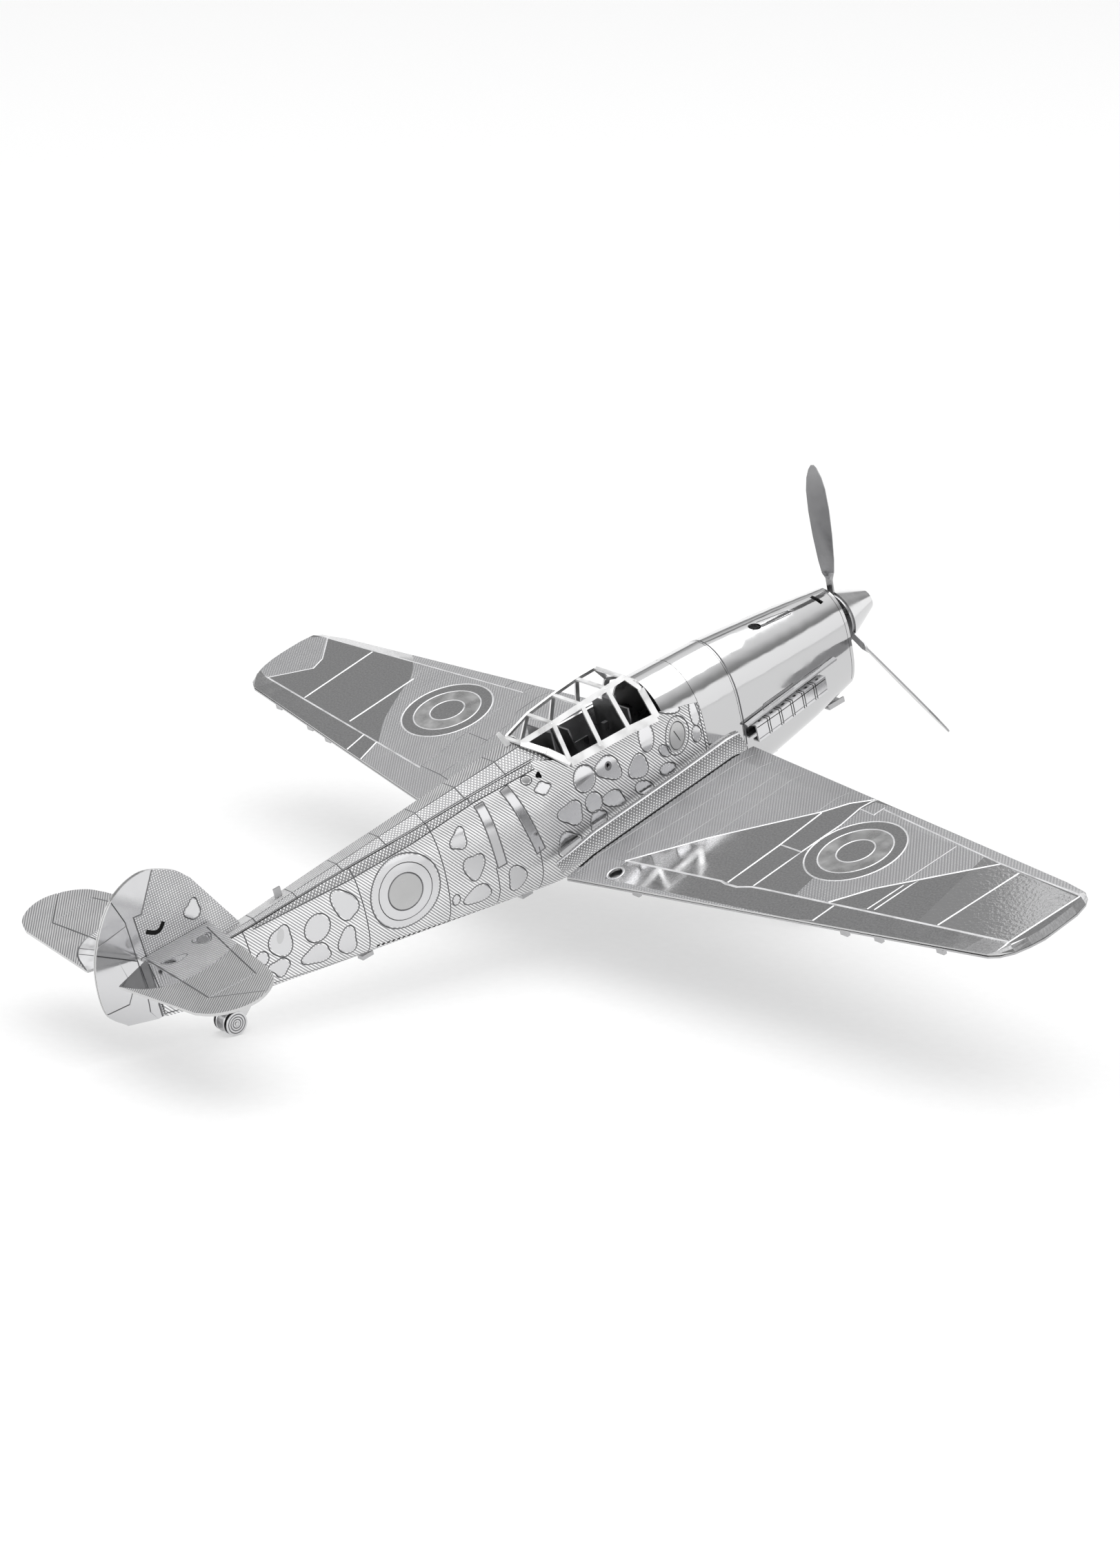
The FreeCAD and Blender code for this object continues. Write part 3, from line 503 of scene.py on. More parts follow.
def bowed(rough):
    """Bright sheet with a bump that tips its shading as if it bowed down towards the wing tip, and an
    orange-peel skin.
    """
    def build(nodes, links, coordinates, bsdf):
        cloudy = noise(nodes, links, coordinates, 0.5, 4.0)
        links.new(remap(nodes, links, cloudy, rough * 0.7, rough * 1.5), bsdf.inputs["Roughness"])
        split = nodes.new("ShaderNodeSeparateXYZ")
        links.new(coordinates, split.inputs[0])
        out = math_node(nodes, links, "MULTIPLY",
                        math_node(nodes, links, "SUBTRACT", split.outputs["X"], BOW_X), BOW_OUT)
        ahead = math_node(nodes, links, "MULTIPLY",
                          math_node(nodes, links, "SUBTRACT", split.outputs["Y"], BOW_Y), BOW_AHEAD)
        run = math_node(nodes, links, "MAXIMUM", math_node(nodes, links, "ADD", out, ahead), 0.0)
        sink = math_node(nodes, links, "MULTIPLY", math_node(nodes, links, "MULTIPLY", run, run), BOW_SINK)
        first = bump(nodes, links, sink, MM, 1.0, bsdf)
        peel = noise(nodes, links, coordinates, 2.6, 2.0)
        bump(nodes, links, peel, 0.03 * MM, 0.9, bsdf, first)
    return build


CROSSED = (0.75, -0.75)
MATERIALS = {
    "hatch": steel("steel_hatch", (0.6, 0.6, 0.6), 0.34,
                   etched(0.27, (-0.64,), 0.05 * MM, (0.36, 0.36, 0.37), (1.0, 1.0, 1.0), 0.3)),
    "fine": steel("steel_fine", (0.6, 0.6, 0.6), 0.34,
                  etched(0.3, CROSSED, 0.03 * MM, (0.38, 0.38, 0.39), (0.68, 0.68, 0.68), 0.32)),
    # darker crossed etch for the wing-root fillet: painted shade where wing and fuselage meet
    "shade": steel("steel_painted_shade", (0.4, 0.4, 0.4), 0.36,
                   etched(0.3, CROSSED, 0.04 * MM, (0.2, 0.2, 0.205), (0.5, 0.5, 0.5), 0.36)),
    # crossed dot etch of the spine facets and the band below them; the etch is the sheet's own, its darker
    # tone is painted shade that damps the overhead light on these upward faces
    "facet": steel("steel_facet_painted_shade", (0.45, 0.45, 0.45), 0.36,
                   etched(0.3, CROSSED, 0.05 * MM, (0.26, 0.26, 0.265), (0.84, 0.84, 0.84), 0.34)),
    "peel": steel("steel_peel", (0.56, 0.56, 0.565), 0.07, bowed(0.08)),
    # near-black steel for slots, joints and open ends: painted shadow where they show only shade
    "gap": steel("steel_gap_painted_shadow", (0.02, 0.02, 0.02), 0.6, polished(0.6, 0.005 * MM, 0.003 * MM)),
    "dots": steel("steel_dots", (0.6, 0.6, 0.6), 0.36,
                  etched(0.26, (0.0, 1.57), 0.05 * MM, (0.4, 0.4, 0.41), (1.0, 1.0, 1.0), 0.3)),
    "rib": steel("steel_rib", (0.6, 0.6, 0.6), 0.36,
                 etched(0.25, (0.9,), 0.05 * MM, (0.22, 0.22, 0.23), (0.72, 0.72, 0.72), 0.34)),
    "slant": steel("steel_slant", (0.6, 0.6, 0.6), 0.36,
                   etched(0.25, (-0.69,), 0.05 * MM, (0.26, 0.26, 0.265), (0.74, 0.74, 0.74), 0.34)),
    "field": steel("steel_field", (0.5, 0.5, 0.5), 0.08,
                   speckled(0.08, (0.4, 0.4, 0.405), (0.6, 0.6, 0.605))),
    "polish": steel("steel_polish", (0.66, 0.66, 0.67), 0.1, polished(0.12, 0.02 * MM, 0.001 * MM)),
    "mirror": steel("steel_mirror", (0.56, 0.56, 0.565), 0.07, polished(0.08, 0.02 * MM, 0.0015 * MM)),
    "satin": steel("steel_satin", (0.5, 0.5, 0.5), 0.3, polished(0.3, 0.01 * MM, 0.003 * MM)),
    "groove": steel("steel_groove", (0.2, 0.2, 0.205), 0.35, polished(0.35, 0.005 * MM, 0.003 * MM)),
    # lighter rough steel for the wing and fillet lines and a tailplane panel; on the exhaust tops it is a
    # painted highlight
    "ridge": steel("steel_ridge_and_painted_highlight", (0.75, 0.75, 0.76), 0.45, polished(0.45, 0.005 * MM, 0.003 * MM)),
    "edge": steel("steel_edge", (0.6, 0.6, 0.6), 0.25, polished(0.25, 0.005 * MM, 0.003 * MM)),
    "inner": steel("steel_inner", (0.55, 0.55, 0.56), 0.3, polished(0.3, 0.01 * MM, 0.003 * MM)),
}
SOLID = {
    "lattice": steel("solid_lattice", (0.86, 0.86, 0.86), 0.36, polished(0.42, 0.06 * MM, 0.001 * MM), False),
    "bright": steel("solid_bright", (0.62, 0.62, 0.625), 0.14, polished(0.14, 0.01 * MM, 0.001 * MM), False),
    "plain": steel("solid_plain", (0.45, 0.45, 0.455), 0.28, polished(0.28, 0.01 * MM, 0.002 * MM), False),
    # dark steel for the parts inside: painted shade
    "dark": steel("solid_painted_shade", (0.2, 0.2, 0.205), 0.4, polished(0.4, 0.01 * MM, 0.002 * MM), False),
    "blade": steel("solid_blade", (0.36, 0.36, 0.365), 0.16, polished(0.16, 0.01 * MM, 0.001 * MM), False),
}


# ---------------------------------------------------------------- fuselage
def outward(points):
    return points * [1, 0, 1] + [0, 0, 2.0]


def blot(y, s, ry, rs, turn=0.0, lobes=(), gap=0.16):
    """Polished blot with its etched outline: zone and groove."""
    zone = loop(y, s, ry, rs, turn, lobes)
    return (zone, "polish"), (loop(y, s, ry + gap, rs + gap, turn, lobes), 0.14, True)


BLOTS = [
    # y, s, half length, half height, turn, lobes
    (76.6, 0.5, 1.1, 1.5, 0.3, ((1, 0.25, 1.2), (3, 0.12, 0.5))), (72.7, -0.2, 1.3, 1.35, 0, ((2, 0.05, 1),)),
    (69.1, 0.5, 1.1, 1.7, -0.4, ((1, 0.2, 4.5), (3, 0.1, 2))), (73.4, -3.0, 1.5, 0.95, 0.2, ((3, 0.14, 1),)),
    (69.8, -3.2, 1.05, 1.25, 0.1, ((2, 0.14, 3.1), (3, 0.12, 0.4))), (79.2, -0.6, 0.55, 0.6, 0, ()),
    (77.6, -2.4, 1.0, 0.8, 0.5, ((3, 0.16, 0), (4, 0.08, 1))), (55.2, 1.7, 0.75, 1.0, 0.5, ((3, 0.18, 1.6),)),
    (54.3, -1.9, 1.0, 1.35, 0.1, ((2, 0.08, 0), (3, 0.14, 4.7))),
    (54.4, -5.3, 1.5, 0.95, 0.1, ((3, 0.1, 1),)),
    (49.6, -5.6, 1.0, 1.35, -0.35, ((2, 0.12, 2), (3, 0.1, 2))), (57.0, -4.6, 0.3, 0.5, 0, ()),
    (45.7, 4.1, 0.45, 0.35, 0.3, ()), (44.4, 2.6, 0.75, 0.5, 0.2, ((4, 0.12, 0.5),)),
    (39.4, 1.25, 1.25, 1.3, 0, ()), (36.2, 0.9, 1.6, 1.05, 0.7, ((3, 0.12, 2),)),
    (32.6, -0.7, 1.15, 1.2, 0, ((3, 0.1, 0.6),)), (30.8, 1.6, 0.8, 1.5, 0.25, ((1, 0.22, 4.4),)),
    (23.95, 1.5, 0.5, 1.3, 0.15, ()), (24.4, -0.8, 0.5, 0.8, 0, ()), (29.0, -2.7, 0.95, 0.55, 0.35, ()),
    (42.0, -1.5, 1.5, 1.1, 0.6, ((3, 0.16, 1.1),)), (39.0, -1.7, 0.8, 1.2, -0.5, ((2, 0.1, 0),)),
    (36.2, -2.6, 1.4, 0.75, 0.6, ((1, 0.2, 0.7), (3, 0.12, 2))),
    (38.9, -4.0, 0.95, 1.15, 0.3, ((3, 0.1, 4),)),
    (32.6, -3.2, 1.2, 0.6, 0.6, ((1, 0.18, 3.6),)), (43.0, -4.6, 1.35, 1.15, 0.3, ((3, 0.18, 3.3),)),
    (26.9, 3.4, 1.3, 0.5, 0.5, ((2, 0.1, 0),)), (28.9, -0.6, 0.8, 0.4, 0.9, ()),
]


def fuselage_side(side, name):
    top = [(y, arc_at(y, x, True)) for y, x in
           [(y, float(table(SIDE_TOP, y))) for y in (23.15, 28.4, 34, 40.3, 43.8, 50, 60, 70, 80, 90.5)]]
    low = [(y, arc_at(y, min(0.85, float(np.interp(y, HULL[:, 0], HULL[:, 1])) * 0.8), False))
           for y in (90.5, 80, 70, 60, 50, 44, 36, 28.4, 23.15)]
    outline = top + low
    zones, grooves = [], []
    for item in BLOTS:
        zone, ring = blot(*item)
        zones.append(zone)
        grooves.append(ring)
    # dark centres of two blots
    zones.append((loop(36.2, 1.2, 0.45, 0.5, 0.3), "groove"))
    zones.append((loop(76.6, 1.0, 0.4, 0.8, 0.4, ((1, 0.3, 1.2),)), "mirror"))
    # plain round marking between two frames, with a ring
    zones += [(loop(62.4, -0.9, 3.9, 3.9), "polish"), (loop(62.4, -0.9, 2.0), "satin")]
    grooves += [(loop(62.4, -0.9, 4.05, 4.05), 0.16, True), (loop(62.4, -0.9, 2.0), 0.16, True),
                (loop(62.4, -0.9, 3.1, 3.1), 0.1, True)]
    # two plain slanted bars
    for y, s, length, turn in ((51.4, 0.4, 7.2, 1.5), (47.4, 0.3, 8.2, 1.34)):
        bar = box(y, s, length, 0.9, turn)
        zones.append((bar, "polish"))
        grooves.append((offset(bar, -0.1, True), 0.16, True))
    # plain oval near the windshield
    zones.append((loop(26.9, 0.2, 1.25, 1.75, 0.3), "satin"))
    grooves += [(loop(26.9, 0.2, 1.6, 2.1, 0.3), 0.16, True), (loop(26.9, 0.2, 1.05, 1.5, 0.3), 0.12, True),
                (box(26.9, 0.2, 1.5, 0.04, 1.2)[:2], 0.12, False)]
    for y, high, down in ((80.4, 5, -6), (67.4, 6, -7), (57.8, 7, -8), (51.9, -3.2, -9), (46.6, -3.2, -10),
                          (52.4, 8, 4.6)):
        grooves.append(([(y, high), (y - 0.15, (high + down) / 2), (y, down)], 0.12, False))
    grooves.append(([(44.2, 4.75), (52, 4.45), (60, 3.5), (68, 2.95), (79.2, 2.75)], 0.12, False))
    grooves.append(([(y, s + 0.35) for y, s in low], 0.12, False))
    grooves.append(([(23.5, 8.5), (23.5, -12.5)], 0.14, False))
    # upper band next to the spine in the facet steel, whose darker tone is painted shade
    zones.append(([(90, 9), (79.2, 9), (79.2, 2.75), (68, 2.95),
                   (60, 3.5), (52, 4.45), (44.2, 4.75), (44.2, 9)], "facet"))
    zones.insert(0, zones.pop())
    # locking slots along the belly seam, not cut through: near-black zones that are painted shadow inside
    # them
    slots = [box(y, arc_at(y, 0.85, False) + 1.0, 0.34, 0.4) for y in np.arange(50.2, 66.4, 0.62)]
    zones += [(s, "gap") for s in slots]
    holes = [loop(44.2, 4.0, 0.32, 0.36, 0, ((3, 0.2, 0),), 14), loop(36.2, 1.25, 0.22, 0.26, 0, (), 12)]
    return sheet("fuselage_skin_" + name, "fuselage_side_" + name,
                 lambda u, v: hull(u, v, side), outline, outward, holes=holes, zones=zones, grooves=grooves,
                 smooth=True, step=1.0, grid=(1.1, 0.9))


def spine():
    """Folded cap behind the canopy: flat strip and two facets, in girth coordinates."""
    SPINE_GIRTH = 2.6

    def place(u, v):
        strip = np.interp(u, (43.8, 79.3, 84.0), (1.1, 0.6, 0.3))
        low_x = table(SIDE_TOP, u) - 0.05
        width, middle, top, _, power = [np.interp(u, HULL[:, 0], HULL[:, k]) for k in range(1, 6)]
        low_z = middle + (top - middle) * np.maximum(0, 1 - (low_x / width) ** power) ** (1 / power)
        facet = np.hypot(low_x - strip, top - low_z)
        a = np.abs(v) / SPINE_GIRTH * (strip + facet)
        on_strip = a <= strip
        t = np.clip((a - strip) / facet, 0, 1)
        x = np.where(on_strip, a, strip + t * (low_x - strip))
        z = np.where(on_strip, top, top + t * (low_z - top))
        return np.stack([np.sign(v) * x, u, z], 1)

    def fold(u):
        strip = float(np.interp(u, (43.8, 79.3, 84.0), (1.1, 0.6, 0.3)))
        low_x = float(table(SIDE_TOP, u)) - 0.05
        top = float(np.interp(u, HULL[:, 0], HULL[:, 3]))
        x, z, _ = section(u)
        low_z = float(np.interp(low_x, x[0, 48:][::-1], z[0, 48:][::-1]))
        return SPINE_GIRTH * strip / (strip + math.hypot(low_x - strip, top - low_z))

    ys = [43.8, 48, 52, 56, 60, 64, 68, 72, 76, 79.3, 84.0]
    outline = [(42.1, -SPINE_GIRTH), (43.8, -fold(43.8)), (43.8, fold(43.8)), (42.1, SPINE_GIRTH),
               (60, SPINE_GIRTH), (79.3, SPINE_GIRTH), (84.0, SPINE_GIRTH),
               (84.0, -SPINE_GIRTH), (79.3, -SPINE_GIRTH), (60, -SPINE_GIRTH)]
    folds = [[(y, side * fold(y)) for y in ys] for side in (-1, 1)]
    strip_zone = [(y, fold(y)) for y in ys] + [(y, -fold(y)) for y in ys[::-1]]
    grooves = [([(y, -3), (y, 3)], 0.12, False) for y in (47.3, 52.6, 57.8, 62.6, 68.0, 73.6, 78.6)]
    grooves += [([(y, side * (fold(y) + 0.05)) for y in ys], 0.08, False) for side in (-1, 1)]
    grooves += [([(y, side * 2.45) for y in ys], 0.1, False) for side in (-1, 1)]
    # the two facets use the facet steel, darker as painted shade
    return sheet("spine_skin", "spine_panel", place, outline,
                 lambda p: p * [1, 0, 0] + [0, 0, 3], zones=[(strip_zone, "rib")], grooves=grooves,
                 folds=folds, base="facet", step=2.0)


def nose_sheet(name, node, front, rear, grooves=(), holes=(), zones=(), edge=None):
    """Bright sheet wrapped over the nose between two stations."""
    def reach(y):
        _, _, run = section(y)
        rim = arc_at(y, 0.3, False) if edge is None else arc_at(y, float(np.interp(y, *edge)), True)
        return run[0, -1] - rim
    ys = list(np.linspace(front, rear, 7))
    outline = [(y, reach(y)) for y in ys] + [(y, -reach(y)) for y in ys[::-1]]
    return sheet(name, node, hull_wrap, outline, outward, grooves=grooves, holes=holes,
                 zones=zones, base="mirror", smooth=True, step=0.8, grid=(1.0, 0.6), depth=0.08)


def crown_arc(y, x):
    """Girth distance from the crown to half-breadth x."""
    _, _, run = section(y)
    return float(run[0, -1] - arc_at(y, x, True))


def nose():
    holes, grooves, zones = [], [], []
    for side in (-1, 1):
        t = side * crown_arc(11.6, 1.45)
        holes.append(loop(11.6, t, 0.75, 0.5, -0.35 * side, (), 24))
        grooves.append(([(10.9, t + 0.42), (6.6, t + 0.2)], 0.09, False))
        grooves.append(([(10.9, t - 0.42), (6.6, t - 0.3)], 0.09, False))
        a, b = side * crown_arc(2.75, 0.6), side * crown_arc(2.3, 1.8)
        holes.append(box(2.52, (a + b) / 2, 1.4, 0.55, math.atan2(b - a, -0.45)))
        widest = [crown_arc(y, 10) for y in (15.3, 14.8, 10.0, 5.0)]
        grooves.append(([(15.3, side * (widest[0] + 2.9)), (14.8, side * (widest[1] + 2.0)),
                         (10.0, side * (widest[2] + 1.75))], 0.1, False))
        grooves.append(([(8.3, side * (widest[2] + 1.6)), (5.9, side * (widest[3] + 1.9))], 0.1, False))
        grooves.append(([(17.95, 0), (17.95, side * 16)], 0.18, False))
        grooves.append(([(0.8, side * 1.0), (0.8, side * 12)], 0.06, False))
    nose_sheet("cowling_skin", "engine_cowling", 0.35, 18.2, grooves, holes, zones)
    nose_sheet("forward_skin", "forward_shell", 18.25, 23.1)
    nose_sheet("deck_skin", "cowl_deck", 23.15, 27.7, edge=((23.1, 27.7), (4.3, 4.05)))


# ---------------------------------------------------------------- wings
def wing_sheet(side, name):
    tip = [(x, y) for y, x in TIP]
    outline = [(6.45, 18.86)] + chord_line(0, (20, 40)) + tip + chord_line(1, (40, 20, 6.45))
    folds = [chord_line(c, (6.45, 20, 40, 61.7)) for c in (0.11, 0.855)]
    folds += [[(x - TIP_BEND, y) for y, x in TIP[1:-1]], [(x - TIP_BEND / 2, y) for y, x in TIP[1:-1]]]
    zones, grooves = [], []

    def line(points, width=0.16, closed=False, own="ridge"):
        grooves.append((points, width, closed, own))

    if side < 0:
        zones.append(([(28.6, 21.4), (38.0, 22.6), (63.3, 25.5), (63.3, 37.5), (38.6, 41.0),
                       (11.0, 44.2), (11.3, 41.1), (16.7, 34.4), (25.0, 26.0)], "field"))
        zones.append(([(28.7, 22.0), (31.2, 21.9), (61.7, 25.5), (61.7, 26.6), (50.6, 25.8), (46.3, 29.7),
                       (41.3, 34.3), (38.6, 38.0), (34.2, 38.4), (33.0, 35.0), (29.0, 32.0),
                       (29.0, 27.0)], "fine"))
        zones.append(([(28.9, 38.8), (28.9, 32.0), (33.4, 34.0), (34.2, 38.4)], "field"))
        line([(11.0, 41.3), (16.7, 34.4), (25.0, 26.0), (28.2, 21.6)], 0.22)
        line([(38.6, 38.0), (41.3, 34.3), (46.3, 29.7), (50.6, 25.8)], 0.22)
        line(chord_line(0.852, (11.3, 18, 24.5)) + [(25.4, 39.9), (27.0, 39.8), (28.6, 39.2)]
             + chord_line(0.845, (30, 36, 39.6, 50, 61.2)), 0.26)
        line([(39.0, 40.6), (39.6, 38.2)], 0.2)
        line([(25.4, 39.6), (25.4, 32.3), (25.1, 26.2)], 0.2)
        line([(28.6, 38.9), (28.7, 32.3), (28.9, 27.0), (28.3, 22.2)], 0.2)
        line([(25.4, 32.3), (28.6, 32.4)], 0.2)
        line([(43.4, 37.2), (43.8, 32.6)], 0.16)
        line([(44.2, 37.0), (44.5, 32.3)], 0.16)
        line([(52.4, 36.4), (53.5, 26.4)], 0.2)
        line([(30.8, 22.8), (50.6, 25.8), (62.4, 26.9)], 0.22)
        line([(61.2, 36.2), (62.2, 27.0)], 0.22)
        zones.append(([(48.0, 25.6), (62.0, 27.2), (61.1, 36.0), (50.0, 36.9)], "peel"))
        line([(43.3, 31.8), (43.8, 25.2)], 0.1)
        line([(28.6, 24.0), (31.0, 24.3), (30.6, 22.4)], 0.14)
        cross = (34.2, 30.0)
    else:
        zones.append(([(47.6, 22.0), (63.3, 22.0), (63.3, 40.0), (34.2, 42.0)]
                      + curve([(35.0, 38.4), (38.1, 35.1), (41.0, 30.5), (42.6, 27.6), (45.4, 25.0),
                               (47.6, 23.6)]), "field"))
        zones.append(([(59.7, 36.0), (55.9, 31.9), (56.6, 30.0), (60.2, 26.4), (63.3, 28.0),
                       (63.3, 35.0)], "fine"))
        line([(59.7, 36.0), (55.9, 31.9), (56.6, 30.0), (60.2, 26.4)], 0.16)
        line(chord_line(0.852, (26.0, 35, 45, 60.5)), 0.2)
        line([(26.0, 39.3), (22.5, 39.4), (19.2, 39.9), (16, 41.0)], 0.1, own="groove")
        line([(51.4, 36.6), (51.9, 26.0)], 0.22)
        line([(41.8, 37.3), (42.0, 27.6)], 0.22)
        line(chord_line(0.1, (27.1, 40, 61.0)), 0.2)
        line([(37.8, 40.9), (37.8, 38.2)], 0.2)
        line([(34.6, 41.4), (35.1, 38.5)], 0.2)
        line([(26.0, 39.2), (26.6, 32.0), (27.4, 21.6)], 0.12, own="groove")
        line([(22.5, 39.2), (23.3, 28.2)], 0.12, own="groove")
        line([(26.3, 32.2), (22.9, 32.2)], 0.1, own="groove")
        line([(27.2, 23.5), (30.1, 23.7), (30.4, 21.9)], 0.12, own="groove")
        cross = (32.6, 30.2)
    cx, cy = cross
    zones += [(loop(cx, cy, 5.2), "field"), (loop(cx, cy, 3.9), "satin"), (loop(cx, cy, 2.0), "field")]
    for r, w in ((5.3, 0.18), (3.9, 0.16), (2.0, 0.16)):
        line(loop(cx, cy, r, count=48), w, True)
    for pts in (((8.2, 20.6), (7.0, 44.6)), ((11.4, 20.6), (10.0, 40.0)), ((14.3, 21.0), (13.9, 37.0)),
                ((16.8, 21.4), (16.8, 33.9)), ((24.6, 21.9), (24.4, 26.6))):
        line(list(pts), 0.08, own="polish" if side < 0 else "groove")
    # near-black saw-toothed strip along the wing root: painted shadow in the joint with the fuselage
    teeth = [(6.72 + (0.12 if i % 2 else 0.0), float(y)) for i, y in enumerate(np.arange(21.0, 44.0, 0.3))]
    zones.append(([(6.3, 21.0)] + teeth + [(6.3, 44.0)], "gap"))
    holes = [loop(11.6, 43.1, 0.72, 0.72, 0, (), 24)]
    if side < 0:
        zones.append((loop(11.6, 43.1, 1.0, 1.0), "fine"))
        line(loop(11.6, 43.1, 0.92, 0.92, 0, (), 28), 0.14, True)
    return sheet("wing_top_" + name, "wing_upper_skin_" + name,
                 lambda u, v: wing(u, v, side), outline, lambda p: p * 0 + [0, 0, 1], holes=holes,
                 zones=zones, grooves=grooves, folds=folds, step=3.0, base="fine", line_class="ridge")


def tail_sheet(side, name):
    rim = curve([(14.2, 85.8), (16.4, 86.55), (18.1, 88.1), (19.0, 90.2), (18.55, 92.3), (17.1, 94.0),
                 (15.1, 94.85)], 5)
    outline = [(0.3, 83.1)] + rim + [(2.9, 95.6), (0.95, 91.2), (0.3, 91.2)]
    zones, grooves = [], []
    slope = math.tan(math.radians(2.3))

    def line(points, width=0.14, closed=False):
        grooves.append((points, width, closed))

    def place(u, v):
        return np.stack([side * u, v, 5.65 + u * slope], 1)

    edge = curve([(2.6, 95.7), (6.3, 94.4), (8.1, 92.2), (8.5, 89.4), (8.1, 86.9), (7.2, 84.3)])
    zones.append((edge + [(0.2, 83.0), (0.2, 91.2), (0.95, 91.2)], "dots"))
    zones.append(([(0.95, 91.2), (7.9, 91.9)] + [p for p in edge if p[1] > 91.9][::-1],
                  "mirror" if side < 0 else "ridge"))
    line(edge, 0.16)
    line([(1.2, 91.05), (8.0, 91.75), (13.9, 92.4)], 0.18)
    line([(13.9, 92.4), (14.4, 87.2), (9.0, 85.9), (1.0, 83.9)], 0.14)
    line([(13.9, 92.4), (18.3, 88.8)], 0.14)
    line([(1.2, 92.0), (6.2, 94.3)], 0.12)
    line([(1.8, 91.4), (7.3, 93.7)], 0.12)
    for y, s, a, b, t, l in ((2.9, 85.6, 0.9, 0.8, 0.4, ((3, 0.15, 1),)),
                             (3.8, 89.6, 0.5, 1.1, 0.4, ((3, 0.15, 0),))):
        zones.append((loop(y, s, a, b, t, l), "polish"))
        line(loop(y, s, a + 0.15, b + 0.15, t, l), 0.12, True)
    return sheet("tailplane_skin_" + name, "tailplane_" + name, place, outline,
                 lambda p: p * 0 + [0, 0, 1], zones=zones, grooves=grooves, gauge=0.3, both=True, step=3.0,
                 base="rib" if side > 0 else "slant")


def fin_sheet(side, name):
    crown = curve([(83.7, 10.9), (85.4, 12.6), (88.6, 13.9), (92.0, 13.0), (94.6, 10.2), (96.2, 6.6),
                   (96.4, 2.2), (94.6, -0.1)], 7)
    outline = [(79.9, 3.9)] + crown + [(91.3, -1.1), (88.6, -1.2), (80.9, -1.0)]
    zones, grooves = [], []

    def line(points, width=0.14, closed=False):
        grooves.append((points, width, closed))

    hinge = [(87.0, 14.2), (89.8, 9.9), (90.7, 10.0), (90.6, 5.5), (90.4, 2.0), (90.8, 0.3), (90.8, -1.3)]
    zones.append((hinge + [(97, -1.3), (97, 14.2)], "polish"))
    line(hinge, 0.16)
    line([(92.5, 12.6), (91.7, 10.0), (91.6, 2.6), (91.9, 0.0)], 0.12)
    line([(96.3, 2.1), (93.8, 1.9), (93.1, 2.9), (93.1, 4.4)], 0.12)
    line([(95.1, 9.1), (91.6, 9.6)], 0.12)
    line([(95.6, 8.3), (91.6, 5.6)], 0.12)
    blob = loop(84.4, 7.6, 0.75, 0.9, 0.3, ((3, 0.14, 1.0), (4, 0.06, 0)))
    zones.append((blob, "polish"))
    line(loop(84.4, 7.6, 0.9, 1.05, 0.3, ((3, 0.14, 1.0), (4, 0.06, 0))), 0.12, True)
    # curved slot, not cut through: near-black painted shadow inside it
    slot = curve([(90.0, 7.8), (89.0, 7.2), (88.2, 7.3), (87.6, 7.9)], 3)
    slot = list(slot) + [tuple(p) for p in offset(slot, -0.45, False)[::-1]]
    return sheet("fin_skin_" + name, "fin_rudder_skin_" + name,
                 lambda u, v: np.stack([side * (0.23 + 0 * u), u, v], 1), outline,
                 lambda p: p * 0 + [side, 0, 0],
                 zones=zones + [(slot, "gap")], grooves=grooves, base="dots", step=3.0)


def fillet_sheet(side, name):
    """Flared strip along the wing root, saw-toothed where it meets the wing; its darker "shade" steel is
    painted shade in the root crease.
    """
    stations = ((19.0, 0.75), (20.5, 1.0), (40.0, 1.0), (45.4, 0.5))
    width = 2.2

    def place(u, v):
        flare = table(stations, u)
        root_z = -4.96 - (u - 18.8) / 26.9 * 2.14
        skin_x = np.interp(u, HULL[:, 0], HULL[:, 1]) + GAUGE + 0.05
        outer_x = skin_x + (6.33 - skin_x) * flare
        t = v / width
        sag = 0.22 * np.sin(np.clip(t, 0, 1) * math.pi)
        x = skin_x - 0.15 + t * (outer_x - skin_x + 0.15)
        z = root_z + (1 - t) * (1.5 * flare + 0.35) + t * 0.1 - sag * flare
        return np.stack([side * x, u, z], 1)

    ys = np.arange(19.1, 45.3, 0.33)
    teeth = [(float(y), width + (0.0 if i % 2 else -0.2)) for i, y in enumerate(ys)]
    outline = [(19.1, 0), (45.3, 0), (45.3, width)] + teeth[::-1]
    folds = [[(19.1, width * k / 6), (45.3, width * k / 6)] for k in range(1, 6)]
    return sheet("fillet_skin_" + name, "wing_fillet_" + name, place, outline,
                 lambda p: p * 0 + [side, 0, 1.2], grooves=[([(19, 0.22), (45.4, 0.22)], 0.16, False)],
                 folds=folds, base="shade", smooth=True, step=1.0, line_class="ridge")


